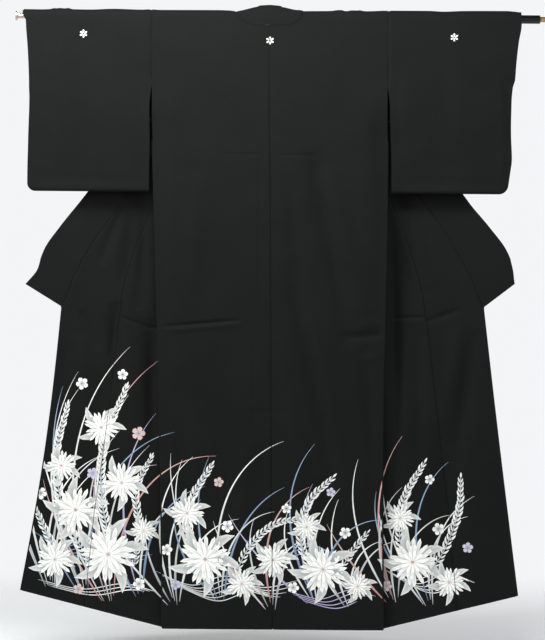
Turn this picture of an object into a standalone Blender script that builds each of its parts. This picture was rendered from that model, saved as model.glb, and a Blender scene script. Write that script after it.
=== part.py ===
"""Kurotomesode, a formal black kimono, hung by its sleeves on a rod with its back to the viewer.

The viewer stands at -Y and looks along +Y, so the back is at -Y and the fronts hang behind it.
Each front turns over on itself behind the back and opens outwards as a wing, so that its outer
face and its collar look to the viewer beyond the side seam. The origin is on the rod's axis,
under the collar. Metres, +Z up.

Two words are used all through. "Down" is the distance along the cloth from the shoulder line,
where it lies over the rod. "Out" is the distance sideways from the garment's centre line.
"""

import math
from collections import namedtuple

import bmesh
import bpy
from mathutils import Vector

# Cloth, seams and rod
WALL = 0.002  # silk crepe and its lining, sewn together
SEAM_GAP = 0.0003
ROD_GAP = 0.0005
ROD_RADIUS = 0.012
ROD_LEFT = -0.655
ROD_RIGHT = 0.7345
STUB_RADIUS = 0.0075
STUB_LEFT = -0.6865
STUB_RIGHT = 0.766
CAP_RADIUS = 0.0125
CAP_LENGTH = 0.005

# The cut, as a kimono maker measures it
HEM_DOWN = 1.6855
ARMHOLE_DOWN = 0.23  # the sleeve is sewn on down to here
SIDE_SEAM_DOWN = 0.36  # under the arm the side is open down to here
SHOULDER_OUT = 0.320
NECK_OUT = 0.090
NECK_DROP = 0.022
OVERLAP_TOP_DOWN = 0.25  # the point where the overlap panel starts
OVERLAP_SEAM_IN = 0.070
FRONT_EDGE_PAST_CENTRE = 0.090
COLLAR_END_DOWN = 0.8955
OVER_COLLAR_DOWN = 0.36  # the cover sewn over the collar at the neck ends here
SLEEVE_DROP = 0.4995
CUFF_DOWN = 0.23
SLEEVE_CORNER = 0.022
PILLOW_EDGE = 0.0085  # half the thickness of a sleeve where it is sewn shut
SIDE_TURN = 0.00325  # the cloth's outer radius round a side seam
SIDE_TURN_INSET = 0.001  # the panels meet the turn this much nearer to each other
LEAST_LAP = 0.010

# Over what width or height one form runs into the next
SIDE_EASE = 0.06  # a panel's own depth into its side seam
BACK_FOLD_EASE = 0.04  # folds of the back, beside the side seam
WING_FOLD_EASE = 0.05  # folds of a wing, beside the front's turn
SLEEVE_EASE = 0.20  # a sleeve's depth over the rod into that of its sewn edges
SLEEVE_THIN_DOWN = 0.46
CUFF_EASE = 0.03
EVEN_COLUMNS_DOWN = 0.25  # below this, the back's columns are evenly wide
LEVEL_ROWS_DOWN = 0.20  # below this, its rows no longer follow the neck's cut

# Where the open wings end, as hung, how far the edge below the collar hangs in, and how far, and
# over what share of its length, the collar's seam is pulled out above its straight line. The tip
# is how far the free corner of the collar's end is drawn out and up
Wing = namedtuple(
    "Wing", "end_out end_z corner_out corner_z hollow pull pull_at pull_reach tip_out tip_z"
)
WINGS = {
    "left": Wing(0.5735, -0.790, 0.6875, -1.562, 0.012, 0.018, 0.82, 0.17, 0.0111, 0.0069),
    "right": Wing(0.5813, -0.784, 0.6695, -1.568, 0.001, 0.019, 0.78, 0.22, -0.0035, 0.0110),
}

SHOULDER_RADIUS = ROD_RADIUS + ROD_GAP + WALL
SHOULDER_ARC = SHOULDER_RADIUS * math.pi / 2

# One row for each level of the body: how far out the side is, how deep the outer face of the back
# and of the front's first layer lie, the radius of the front's turn, and how deep its edge hangs.
Level = namedtuple("Level", "down side back_y front_y turn edge_y")
LEVELS = (
    Level(0.0225, 0.320, -0.0143, 0.0143, 0.0010, 0.0155),
    Level(0.060, 0.320, -0.0143, 0.0143, 0.0050, 0.0240),
    Level(0.120, 0.320, -0.0143, 0.0143, 0.0100, 0.0320),
    Level(0.230, 0.320, -0.0143, 0.0143, 0.0140, 0.0400),
    Level(0.360, 0.3195, -0.0138, 0.0120, 0.0165, 0.0430),
    Level(0.500, 0.3165, -0.0130, 0.0095, 0.0170, 0.0440),
    Level(0.650, 0.313, -0.0120, 0.0080, 0.0160, 0.0420),
    Level(0.8955, 0.307, -0.0105, 0.0065, 0.0130, 0.0360),
    Level(1.100, 0.3025, -0.0090, 0.0055, 0.0095, 0.0290),
    Level(1.350, 0.300, -0.0080, 0.0050, 0.0065, 0.0200),
    Level(HEM_DOWN, 0.299, -0.0070, 0.0045, 0.0040, 0.0120),
)

# The garment leans a little to the viewer's right towards its hem.
Sway = namedtuple("Sway", "down shift")
SWAYS = (
    Sway(0.0, 0.0),
    Sway(0.25, 0.0010),
    Sway(0.38, 0.0040),
    Sway(0.67, 0.0080),
    Sway(1.08, 0.0120),
    Sway(HEM_DOWN, 0.0200),
)

# A sleeve's outer edge, and the gap between its free inner edge and the body.
SleeveEdge = namedtuple("SleeveEdge", "down out gap")
SLEEVE_EDGES = {
    "left": (
        SleeveEdge(0.0, 0.6595, 0.0003),
        SleeveEdge(0.230, 0.657, 0.0003),
        SleeveEdge(0.265, 0.657, 0.0030),
        SleeveEdge(0.360, 0.658, 0.0060),
        SleeveEdge(SLEEVE_DROP, 0.659, 0.0120),
    ),
    "right": (
        SleeveEdge(0.0, 0.683, 0.0003),
        SleeveEdge(0.230, 0.663, 0.0003),
        SleeveEdge(0.265, 0.662, 0.0050),
        SleeveEdge(0.360, 0.659, 0.0070),
        SleeveEdge(SLEEVE_DROP, 0.646, 0.0090),
    ),
}

# Soft folds. Each runs from one place to another, out and z, and sinks away from the viewer by its
# depth, or comes forward where the depth is negative.
Fold = namedtuple("Fold", "panel side out z end_out end_z width depth")
FOLDS = (
    Fold("back", "right", 0.115, -0.36, 0.215, -0.90, 0.030, 0.0075),
    Fold("back", "right", 0.150, -0.40, 0.260, -0.80, 0.026, -0.0040),
    Fold("back", "right", 0.045, -0.66, 0.180, -1.28, 0.026, 0.0080),
    Fold("back", "right", 0.095, -0.80, 0.215, -1.30, 0.024, -0.0050),
    Fold("back", "right", 0.020, -0.80, 0.090, -1.35, 0.024, -0.0040),
    Fold("back", "right", 0.250, -0.85, 0.285, -1.25, 0.020, 0.0050),
    Fold("back", "left", 0.200, -0.42, 0.215, -0.80, 0.028, -0.0030),
    Fold("back", "left", 0.120, -0.90, 0.150, -1.50, 0.035, 0.0040),
    Fold("wing", "right", 0.555, -0.84, 0.505, -1.22, 0.022, 0.0100),
    Fold("wing", "right", 0.520, -0.80, 0.470, -1.15, 0.022, -0.0060),
    Fold("wing", "right", 0.460, -1.10, 0.470, -1.60, 0.030, 0.0060),
    Fold("wing", "right", 0.360, -0.52, 0.430, -0.74, 0.022, -0.0060),
    Fold("wing", "right", 0.475, -0.48, 0.560, -0.62, 0.020, -0.0070),
    Fold("wing", "left", 0.430, -0.78, 0.420, -1.02, 0.018, 0.0090),
    Fold("wing", "left", 0.380, -0.52, 0.400, -0.74, 0.020, 0.0060),
    Fold("wing", "left", 0.460, -0.49, 0.540, -0.62, 0.020, -0.0080),
    Fold("wing", "left", 0.520, -0.86, 0.500, -1.20, 0.026, -0.0060),
    Fold("wing", "left", 0.560, -0.88, 0.590, -1.40, 0.022, 0.0060),
)

# How the collar is folded: the offsets of its fold and of its free edge from its seam, outwards,
# away from the viewer and up, in millimetres. The back rows are placed by the share of the neck's
# cut, from -1 at the centre back, and the front rows by the distance down. Arched is 1 where the
# cloth arches over the rod and 0 where it lies flat.
Collar = namedtuple("Collar", "at fold_out fold_y fold_z free_out free_y free_z arched")
COLLAR_FOLDS = (
    Collar(-1.000, 0.0, 15.5, 54.5, 0.0, 31.5, 6.0, 1.0),
    Collar(-0.950, -22.0, 16.5, 49.5, -20.0, 32.5, 2.5, 1.0),
    Collar(-0.800, -23.6, 18.5, 39.0, -19.6, 34.0, -5.5, 1.0),
    Collar(-0.505, -25.0, 21.5, 22.0, -19.0, 37.0, -21.0, 1.0),
    Collar(-0.252, -21.0, 23.4, 8.5, -14.0, 38.4, -36.0, 1.0),
    Collar(0.0000, -14.7, 21.0, 1.5, -6.7, 35.0, -44.0, 1.0),
    Collar(0.0113, -13.8, 17.0, 2.0, -4.8, 31.0, -42.0, 1.0),
    Collar(0.0225, -14.0, 16.5, 7.0, -6.0, 28.5, -35.0, 1.0),
    Collar(0.0350, -10.0, 19.0, 15.0, -3.0, 29.0, -22.0, 1.0),
    Collar(0.0600, 8.0, 19.0, 23.0, 0.0, 29.0, -12.0, 1.0),
    Collar(0.0900, 28.0, 16.0, 27.0, 8.0, 26.0, -4.0, 1.0),
    Collar(0.1200, 44.0, 11.0, 29.0, 20.0, 22.0, 5.0, 1.0),
    Collar(0.1500, 54.0, 7.0, 32.0, 33.0, 20.0, 14.0, 0.9),
    Collar(0.1750, 58.0, 4.0, 35.0, 46.0, 20.0, 25.0, 0.8),
    Collar(0.2300, 60.0, 1.0, 37.0, 66.0, 18.0, 40.0, 0.5),
    Collar(0.3000, 56.0, 0.0, 34.0, 82.0, 7.0, 50.0, 0.1),
    Collar(0.3600, 50.0, 0.0, 30.5, 89.6, 0.0, 54.7, 0.0),
    Collar(1.0000, 43.5, 0.0, 26.6, 87.0, 0.0, 53.2, 0.0),
)
COLLAR_PROUD = 0.0012  # the collar's many layers lift it off the rod by this much more
COLLAR_OPENS_DOWN = (0.03, 0.20)  # between these the collar leaves the rod and opens with the front
COLLAR_LEANS_DOWN = 0.15  # from here on it lies across its own seam
TIP_STARTS_DOWN = 0.50  # from here on its free edge is drawn towards the tip of the wing

# How far the free edge is drawn outwards besides, at a distance down, in millimetres: it sags under
# the sleeve and is pulled out lower down.
Drawn = namedtuple("Drawn", "down out")
COLLAR_DRAWN = {
    "left": (
        Drawn(0.42, 0.0),
        Drawn(0.49, -8.0),
        Drawn(0.57, -17.0),
        Drawn(0.65, -20.0),
        Drawn(0.73, -16.0),
        Drawn(0.79, -10.0),
        Drawn(0.85, -15.0),
        Drawn(COLLAR_END_DOWN, 0.0),
    ),
    "right": (
        Drawn(0.42, 0.0),
        Drawn(0.49, -4.0),
        Drawn(0.57, -9.0),
        Drawn(0.65, -8.0),
        Drawn(0.73, 5.0),
        Drawn(0.80, 17.0),
        Drawn(0.85, 13.0),
        Drawn(COLLAR_END_DOWN, 0.0),
    ),
}

# Mesh fineness
FRONT_COLUMNS = (4, 5, 4)  # first layer, turn, second layer
TURN_STARTS_DOWN = 0.045  # above this, under the collar, the front is cut off at its turn
ARC_STEPS = 6  # from the top of the rod to the level of its axis
ARC_SHARE = SHOULDER_ARC / (SHOULDER_ARC + NECK_DROP)  # of the neck's cut, as far as the rod's axis
NECK_COLUMNS = [ARC_SHARE * step / ARC_STEPS for step in range(ARC_STEPS + 1)]
NECK_COLUMNS += [0.80, 0.95, 1.0]
SIDE_TURN_COLUMNS = 3
OVERLAP_COLUMNS = 3
SLEEVE_COLUMNS = 6
COLLAR_COLUMNS = 8
OVERLAP_FIRST_ROW = 0.262  # the overlap panel's point, cut off where it would be too thin
MERGE_DISTANCE = 0.00002
TUBE_EDGE = 0.0006
TUBE_SIDES = 32
STUB_SIDES = 24
NECK_SIDE_ROWS = (0.0113, SHOULDER_ARC, 0.035, 0.06, 0.09, 0.12, 0.15)
BODY_ROWS = (
    [SHOULDER_ARC * step / ARC_STEPS for step in range(ARC_STEPS + 1)]
    + [0.045, 0.075, 0.12, 0.175, ARMHOLE_DOWN, OVERLAP_TOP_DOWN, 0.30, SIDE_SEAM_DOWN]
    + [0.42, 0.49, 0.57, 0.65, 0.73, 0.81, COLLAR_END_DOWN]
    + [0.98, 1.08, 1.18, 1.29, 1.40, 1.51, 1.60, HEM_DOWN]
)


def clamp(value):
    return min(max(value, 0.0), 1.0)


def ease(value):
    """A smooth step from 0 to 1."""
    value = clamp(value)
    return value * value * (3 - 2 * value)


def between(rows, at):
    """The table's row at a place between its rows, on a smooth curve through them."""
    keys = [row[0] for row in rows]
    at = min(max(at, keys[0]), keys[-1])
    k = max(i for i in range(len(keys) - 1) if keys[i] <= at)
    span = keys[k + 1] - keys[k]
    t = (at - keys[k]) / span
    values = []
    for column in range(len(rows[0])):
        here, there = rows[k][column], rows[k + 1][column]
        slope = (there - here) / span
        before = after = slope
        if k > 0:
            last = (here - rows[k - 1][column]) / (keys[k] - keys[k - 1])
            before = 0.0 if last * slope <= 0 else 2 * last * slope / (last + slope)
        if k + 2 < len(keys):
            coming = (rows[k + 2][column] - there) / (keys[k + 2] - keys[k + 1])
            after = 0.0 if coming * slope <= 0 else 2 * coming * slope / (coming + slope)
        rise = there - here
        values.append(
            here
            + t * (span * before + t * (3 * rise - span * (2 * before + after)))
            + t * t * t * (span * (before + after) - 2 * rise)
        )
    return type(rows[0])(*values)


def level_at(down):
    return between(LEVELS, max(down, LEVELS[0].down))


def z_of(down):
    """Height of the cloth that far down, hanging straight from the rod."""
    if down < SHOULDER_ARC:
        return SHOULDER_RADIUS * math.cos(down / SHOULDER_RADIUS)
    return SHOULDER_ARC - down


def sign_of(side):
    return -1.0 if side == "left" else 1.0


def placed(side, out, y, z):
    """A point given by its side of the garment, moved by the sway at its height."""
    sway = between(SWAYS, clamp(-z / HEM_DOWN) * HEM_DOWN).shift
    return Vector((sign_of(side) * out + sway, y, z))


def fold_depth(panel, side, out, z):
    total = 0.0
    for fold in FOLDS:
        if fold.panel != panel or fold.side != side:
            continue
        run_out, run_z = fold.end_out - fold.out, fold.end_z - fold.z
        length = math.hypot(run_out, run_z)
        along = ((out - fold.out) * run_out + (z - fold.z) * run_z) / length
        across = ((out - fold.out) * run_z - (z - fold.z) * run_out) / length
        fade = math.sin(math.pi * clamp(along / length)) ** 0.7
        total += fold.depth * fade * math.exp(-((across / fold.width) ** 2))
    return total


# The front panel's cut and the place of its edge
def seam_in(down):
    """How far in from the centre line the collar seam, or below it the front edge, is cut.
    It is negative short of the centre, and positive where the fronts would overlap."""
    if down <= OVERLAP_TOP_DOWN:
        return -NECK_OUT + (NECK_OUT - OVERLAP_SEAM_IN) * down / OVERLAP_TOP_DOWN
    share = clamp((down - OVERLAP_TOP_DOWN) / (COLLAR_END_DOWN - OVERLAP_TOP_DOWN))
    return -OVERLAP_SEAM_IN + (OVERLAP_SEAM_IN + FRONT_EDGE_PAST_CENTRE) * share


def collar_seam_length(down):
    upper = math.hypot(NECK_OUT - OVERLAP_SEAM_IN, OVERLAP_TOP_DOWN)
    if down <= OVERLAP_TOP_DOWN:
        return upper * down / OVERLAP_TOP_DOWN
    lower = math.hypot(
        OVERLAP_SEAM_IN + FRONT_EDGE_PAST_CENTRE, COLLAR_END_DOWN - OVERLAP_TOP_DOWN
    )
    share = (down - OVERLAP_TOP_DOWN) / (COLLAR_END_DOWN - OVERLAP_TOP_DOWN)
    return upper + lower * share


def collar_run(side):
    return Vector((WINGS[side].end_out - NECK_OUT, WINGS[side].end_z - SHOULDER_RADIUS))


def collar_across(side):
    """The direction across the open collar, from its seam to its free edge."""
    run = collar_run(side).normalized()
    return Vector((-sign_of(side) * run.y, 0, run.x))


def edge_place(side, down):
    """Out and z of the collar seam, or below the collar of the front edge, as hung."""
    wing = WINGS[side]
    if down <= COLLAR_END_DOWN:
        share = collar_seam_length(down) / collar_seam_length(COLLAR_END_DOWN)
        pull = wing.pull * math.exp(-(((share - wing.pull_at) / wing.pull_reach) ** 2))
        pull *= clamp((1 - share) / 0.08) * clamp((share - 0.1) / 0.3)
        run = collar_run(side)
        across = Vector((-run.y, run.x)).normalized()
        return Vector((NECK_OUT, SHOULDER_RADIUS)) + run * share + across * pull
    share = (down - COLLAR_END_DOWN) / (HEM_DOWN - COLLAR_END_DOWN)
    hollow = wing.hollow * math.sin(math.pi * share)
    out = wing.end_out + (wing.corner_out - wing.end_out) * share - hollow
    return Vector((out, wing.end_z + (wing.corner_z - wing.end_z) * share))


def front_width(down):
    """Flat width of the whole front at that level, from the side to the collar seam or edge."""
    return level_at(down).side + seam_in(down)


def body_width(down):
    """Flat width of the front's body panel, up to the overlap panel or the collar."""
    return level_at(down).side + min(seam_in(down), -OVERLAP_SEAM_IN)


def turn_middle(side, down):
    """Out of the middle of the front's turn, found so that the cloth keeps its cut width."""
    level = level_at(down)
    edge_out, edge_z = edge_place(side, down)
    rise = edge_z - z_of(down)
    spare = seam_in(down) - math.pi * level.turn
    middle = (edge_out**2 + rise**2 - spare**2) / (2 * (spare + edge_out))
    return min(middle, level.side - LEAST_LAP)


def front_point(side, down, across):
    """A point of the front's outer face: that far down, and across the flat cut from the side."""
    level = level_at(down)
    z = z_of(down)
    if down <= SHOULDER_ARC:
        edge_out = edge_place(side, down).x
        out = level.side + (edge_out - level.side) * across / front_width(down)
        return placed(side, out, SHOULDER_RADIUS * math.sin(down / SHOULDER_RADIUS), z)
    middle = turn_middle(side, down)
    first = level.side - middle
    turned = first + math.pi * level.turn
    if across < first:
        out = level.side - across
        open_side = ease((SIDE_SEAM_DOWN - down) / (SIDE_SEAM_DOWN - ARMHOLE_DOWN))
        seamed_y = SIDE_TURN - SIDE_TURN_INSET
        side_y = seamed_y + (level.front_y - seamed_y) * open_side
        near_side = 1 - ease(across / min(SIDE_EASE, 0.9 * first))
        y = level.front_y + (side_y - level.front_y) * near_side
        return placed(side, out, y, z)
    if across < turned:
        angle = (across - first) / level.turn
        out = middle - level.turn * math.sin(angle)
        return placed(side, out, level.front_y + level.turn * (1 - math.cos(angle)), z)
    edge_out, edge_z = edge_place(side, down)
    share = (across - turned) / (front_width(down) - turned)
    out = middle + (edge_out - middle) * share
    z += (edge_z - z) * share
    y = level.front_y + 2 * level.turn
    y += (level.edge_y - y) * ease(share)
    y += fold_depth("wing", side, out, z) * ease((across - turned) / WING_FOLD_EASE)
    return placed(side, out, y, z)


def front_columns(side, down):
    """Where the columns of the front's mesh lie across the flat cut."""
    if down < TURN_STARTS_DOWN:
        parts = (0.0, front_width(down))
    else:
        first = level_at(down).side - turn_middle(side, down)
        turned = first + math.pi * level_at(down).turn
        parts = (0.0, first, turned, body_width(down) - SEAM_GAP / 2)
    places = [0.0]
    for start, end, count in zip(parts, parts[1:], FRONT_COLUMNS):
        places += [start + (end - start) * (k + 1) / count for k in range(count)]
    return places


def neck_cut(share, inset=0.0):
    """How far out and how far down the back's neck opening is cut. Share is 0 at the side of the
    neck and 1 at the centre back."""
    out = (NECK_OUT - inset) * (1 - share**2) ** 0.25
    return out, (SHOULDER_ARC + NECK_DROP - inset) * share


def back_point(side, down, out):
    """A point of the back's outer face."""
    level = level_at(down)
    if down <= SHOULDER_ARC:
        y = -SHOULDER_RADIUS * math.sin(down / SHOULDER_RADIUS)
        return placed(side, out, y, z_of(down))
    seamed = ease((down - ARMHOLE_DOWN) / (SIDE_SEAM_DOWN - ARMHOLE_DOWN))
    near_side = 1 - ease((level.side - out) / SIDE_EASE)
    side_y = -SIDE_TURN - SIDE_TURN_INSET
    y = level.back_y + (side_y - level.back_y) * near_side * seamed
    z = z_of(down)
    y += fold_depth("back", side, out, z) * ease((level.side - out) / BACK_FOLD_EASE)
    return placed(side, out, y, z)


# Mesh helpers
def add_grid(mesh, rows):
    """Faces over a grid of points."""
    verts = [[mesh.verts.new(point) for point in row] for row in rows]
    for upper, lower in zip(verts, verts[1:]):
        for k in range(len(upper) - 1):
            mesh.faces.new((upper[k], upper[k + 1], lower[k + 1], lower[k]))


def cloth_object(name, mesh, outward, cloth):
    """Makes the mesh an object of the named cloth, 2 mm thick. Outward is a place near the piece
    and the way that its outer face looks there."""
    bmesh.ops.remove_doubles(mesh, verts=mesh.verts, dist=MERGE_DISTANCE)
    bmesh.ops.recalc_face_normals(mesh, faces=mesh.faces)
    mesh.faces.ensure_lookup_table()
    mesh.normal_update()
    nearest = min(mesh.faces, key=lambda face: (face.calc_center_median() - outward[0]).length)
    if nearest.normal.dot(outward[1]) < 0:
        bmesh.ops.reverse_faces(mesh, faces=mesh.faces)
    data = bpy.data.meshes.new(name)
    mesh.to_mesh(data)
    mesh.free()
    data.shade_smooth()
    data.materials.append(cloth)
    made = bpy.data.objects.new(name, data)
    garment.objects.link(made)
    solidify = made.modifiers.new("Cloth thickness", "SOLIDIFY")
    solidify.thickness = WALL
    solidify.offset = -1


def material(name, colour, roughness, metallic=0.0):
    made = bpy.data.materials.new(name)
    made.use_nodes = True
    shader = made.node_tree.nodes["Principled BSDF"]
    shader.inputs["Base Color"].default_value = (*colour, 1)
    shader.inputs["Roughness"].default_value = roughness
    shader.inputs["Metallic"].default_value = metallic
    return made


# The pieces
def make_body(side):
    """One length of cloth: up the back, over the rod and down the front, sewn to itself at the side."""
    mesh = bmesh.new()
    first = FRONT_COLUMNS[0]
    neck = [neck_cut(share) for share in NECK_COLUMNS[1:]]
    cut = [0.0] * (first + 1) + [lowest for out, lowest in neck]
    front = []
    back = []
    for down in BODY_ROWS:
        across = front_columns(side, down)
        front.append([front_point(side, down, place) for place in across])
        half = level_at(down).side
        outs = [half - (half - NECK_OUT) * k / first for k in range(first + 1)]
        outs += [out for out, lowest in neck]
        even = (half - SEAM_GAP / 2) / (len(outs) - 1)
        spread = ease(down / EVEN_COLUMNS_DOWN)
        outs = [out + (half - even * k - out) * spread for k, out in enumerate(outs)]
        outs[-1] = SEAM_GAP / 2
        downs = [down + lowest * (1 - ease(down / LEVEL_ROWS_DOWN)) for lowest in cut]
        back.append([back_point(side, d, out) for d, out in zip(downs, outs)])
    back[0][: first + 1] = front[0]
    add_grid(mesh, back)
    add_grid(mesh, [row[: first + 1] for row in front])
    add_grid(mesh, [row[first:] for row in front if len(row) > first + 1])
    seamed = [k for k, down in enumerate(BODY_ROWS) if down >= SIDE_SEAM_DOWN]
    turn = []
    for k in seamed:
        start, end = back[k][0], front[k][0]
        middle, reach = (start + end) / 2, (end - start) / 2
        outward = Vector((sign_of(side) * reach.length, 0, 0))
        angles = [math.pi * i / SIDE_TURN_COLUMNS for i in range(SIDE_TURN_COLUMNS + 1)]
        turn.append([middle - reach * math.cos(a) + outward * math.sin(a) for a in angles])
    add_grid(mesh, turn)
    outward = (placed(side, 0.15, -0.012, -1.0), Vector((0, -1, 0)))
    cloth_object(f"body_{side}", mesh, outward, crepe)


def make_overlap(side):
    """The narrow panel sewn to the front's edge, which tapers to a point under the collar."""
    mesh = bmesh.new()
    rows = []
    for down in [OVERLAP_FIRST_ROW] + [row for row in BODY_ROWS if row > OVERLAP_TOP_DOWN]:
        start = body_width(down) + SEAM_GAP / 2
        end = front_width(down)
        if down <= COLLAR_END_DOWN:
            end -= SEAM_GAP
        step = (end - start) / OVERLAP_COLUMNS
        rows.append([front_point(side, down, start + step * k) for k in range(OVERLAP_COLUMNS + 1)])
    add_grid(mesh, rows)
    outward = (placed(side, 0.6, 0.02, -1.3), Vector((0, -1, 0)))
    cloth_object(f"overlap_panel_{side}", mesh, outward, crepe)


def sleeve_point(side, face, down, place):
    """A point of the sleeve's outer face. Face is -1 on the back and 1 on the front."""
    edge = between(SLEEVE_EDGES[side], down)
    inner = level_at(down).side + edge.gap
    left = SLEEVE_DROP - down
    outer = edge.out
    if left < SLEEVE_CORNER:
        outer -= SLEEVE_CORNER - math.sqrt(SLEEVE_CORNER**2 - (SLEEVE_CORNER - left) ** 2)
    out = inner + (outer - inner) * place
    if down <= SHOULDER_ARC:
        y = SHOULDER_RADIUS * math.sin(down / SHOULDER_RADIUS)
        return placed(side, out, face * y, z_of(down))
    half = ease((SLEEVE_THIN_DOWN - down) / SLEEVE_EASE)
    half = PILLOW_EDGE + (SHOULDER_RADIUS - PILLOW_EDGE) * half
    if left < PILLOW_EDGE:
        half *= math.sqrt(1 - (1 - left / PILLOW_EDGE) ** 2)
    from_edge = (outer - out) / PILLOW_EDGE
    if from_edge < 1:
        shut = math.sqrt(max(1 - (1 - from_edge) ** 2, 0.0))
        half *= 1 + (shut - 1) * ease((down - CUFF_DOWN) / CUFF_EASE + 0.5)
    return placed(side, out, face * half, z_of(down))


def make_sleeve(side):
    """One length of cloth folded over the rod, sewn shut at the bottom and below the cuff."""
    rounding = [PILLOW_EDGE * share for share in (0.0, 0.134, 0.5, 1.0)]
    downs = [SHOULDER_ARC * step / ARC_STEPS for step in range(ARC_STEPS + 1)]
    downs += [0.06, 0.12, 0.18, CUFF_DOWN, 0.265, 0.31, 0.36, 0.41, 0.455, 0.478]
    downs += [SLEEVE_DROP - share for share in reversed(rounding)]
    width = SLEEVE_EDGES[side][0].out - SHOULDER_OUT
    places = [k / SLEEVE_COLUMNS for k in range(SLEEVE_COLUMNS)]
    places += [1 - share / width for share in reversed(rounding)]
    mesh = bmesh.new()
    rows = [[sleeve_point(side, -1, down, place) for place in places] for down in reversed(downs)]
    rows += [[sleeve_point(side, 1, down, place) for place in places] for down in downs[1:]]
    add_grid(mesh, rows)
    outward = (placed(side, 0.5, -0.014, -0.2), Vector((0, -1, 0)))
    cloth_object(f"sleeve_{side}", mesh, outward, crepe)


def collar_section(side, seam, rise_axis, row):
    """Points across the collar, from its sewn edge over its fold to its free edge."""
    mirror = sign_of(side)
    fold = seam + Vector((mirror * row.fold_out, row.fold_y, row.fold_z)) / 1000
    free = seam + Vector((mirror * row.free_out, row.free_y, row.free_z)) / 1000
    points = []
    for k in range(COLLAR_COLUMNS + 1):
        place = 2 * k / COLLAR_COLUMNS
        start, share = (seam, place) if place <= 1 else (free, 2 - place)
        reach = fold - start
        straight = reach * share
        upward = rise_axis * reach.dot(rise_axis)
        away = Vector((0, reach.y, 0))
        rise = math.sin(share * math.pi / 2) ** (2 / 3)
        cross = 1 - math.cos(share * math.pi / 2) ** (2 / 3)
        arch = upward * rise + away * cross + (reach - upward - away) * share
        points.append(start + straight.lerp(arch, row.arched))
    return points


def neck_rows(side):
    """The collar's sections from the centre back to the side of the neck, over the rod."""
    rows = []
    for share in reversed(NECK_COLUMNS):
        out, down = neck_cut(share, SEAM_GAP)
        seam = back_point(side, down, out)
        seam += Vector((0, seam.y, max(seam.z, 0))).normalized() * COLLAR_PROUD
        rows.append(collar_section(side, seam, Vector((0, 0, 1)), between(COLLAR_FOLDS, -share)))
    return rows


def folded_collar(side, down):
    """The collar's offsets that far down, drawn out and up towards the tip of the wing."""
    row, wing = between(COLLAR_FOLDS, down), WINGS[side]
    drawn = 1000 * ease((down - TIP_STARTS_DOWN) / (COLLAR_END_DOWN - TIP_STARTS_DOWN))
    drawn_out = wing.tip_out * drawn + between(COLLAR_DRAWN[side], down).out
    drawn_up = wing.tip_z * drawn
    return row._replace(
        fold_out=row.fold_out + drawn_out / 2,
        fold_z=row.fold_z + drawn_up / 2,
        free_out=row.free_out + drawn_out,
        free_z=row.free_z + drawn_up,
    )


def wing_rows(side, downs):
    """The collar's sections along the edge of the front."""
    rows = []
    for down in downs:
        opened = ease((down - COLLAR_OPENS_DOWN[0]) / (COLLAR_OPENS_DOWN[1] - COLLAR_OPENS_DOWN[0]))
        beside = SEAM_GAP + WALL * (1 - opened)
        seam = front_point(side, down, front_width(down) + beside)
        seam += Vector((0, seam.y, max(seam.z, 0))).normalized() * COLLAR_PROUD * (1 - opened)
        across = Vector((0, 0, 1)).lerp(collar_across(side), ease(down / COLLAR_LEANS_DOWN))
        across.normalize()
        rows.append(collar_section(side, seam, across, folded_collar(side, down)))
    return rows


def make_over_collar():
    """The cover that is sewn over the collar, round the neck and a little way down both fronts."""
    downs = list(NECK_SIDE_ROWS)
    downs += [row for row in BODY_ROWS if NECK_SIDE_ROWS[-1] < row <= OVER_COLLAR_DOWN]
    left, right = (neck_rows(side) + wing_rows(side, downs) for side in ("left", "right"))
    mesh = bmesh.new()
    add_grid(mesh, list(reversed(left)) + right[1:])
    outward = (right[0][1], Vector((0, -1, 0)))
    cloth_object("over_collar", mesh, outward, crepe)


def make_collar(side):
    """The collar below its cover, which hangs open on the wing."""
    downs = [row for row in BODY_ROWS if OVER_COLLAR_DOWN < row <= COLLAR_END_DOWN]
    mesh = bmesh.new()
    add_grid(mesh, wing_rows(side, [OVER_COLLAR_DOWN + SEAM_GAP, *downs]))
    outward = (placed(side, 0.5, 0.03, -0.5), Vector((0, -1, 0)))
    cloth_object(f"collar_{side}", mesh, outward, crepe)


def make_tube(name, start, end, radius, finish, sides=STUB_SIDES):
    bpy.ops.mesh.primitive_cylinder_add(
        vertices=sides,
        radius=radius,
        depth=end - start,
        location=((start + end) / 2, 0, 0),
        rotation=(0, math.pi / 2, 0),
    )
    made = bpy.context.active_object
    made.name = name
    made.data.name = name
    made.data.materials.append(finish)
    bevel = made.modifiers.new("Edge", "BEVEL")
    bevel.width = TUBE_EDGE
    bevel.segments = 1
    bevel.limit_method = "ANGLE"
    for collection in list(made.users_collection):
        collection.objects.unlink(made)
    garment.objects.link(made)


for old in list(bpy.data.objects):
    bpy.data.objects.remove(old)
garment = bpy.data.collections.new("kurotomesode")
bpy.context.scene.collection.children.link(garment)
crepe = material("black silk crepe", (0.012, 0.013, 0.013), 0.75)
lacquer = material("black lacquered tube", (0.01, 0.01, 0.011), 0.25)
steel = material("plated steel tube", (0.55, 0.48, 0.42), 0.3, 1.0)

for side in ("left", "right"):
    make_body(side)
    make_overlap(side)
    make_sleeve(side)
    make_collar(side)
make_over_collar()
make_tube("rod", ROD_LEFT, ROD_RIGHT, ROD_RADIUS, lacquer, TUBE_SIDES)
make_tube("rod_stub_left", STUB_LEFT, ROD_LEFT - SEAM_GAP, STUB_RADIUS, steel)
make_tube("rod_stub_right", ROD_RIGHT + SEAM_GAP, STUB_RIGHT, STUB_RADIUS, steel)
make_tube("rod_cap_left", STUB_LEFT - CAP_LENGTH, STUB_LEFT - SEAM_GAP, CAP_RADIUS, steel)
make_tube("rod_cap_right", STUB_RIGHT + SEAM_GAP, STUB_RIGHT + CAP_LENGTH, CAP_RADIUS, steel)
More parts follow.
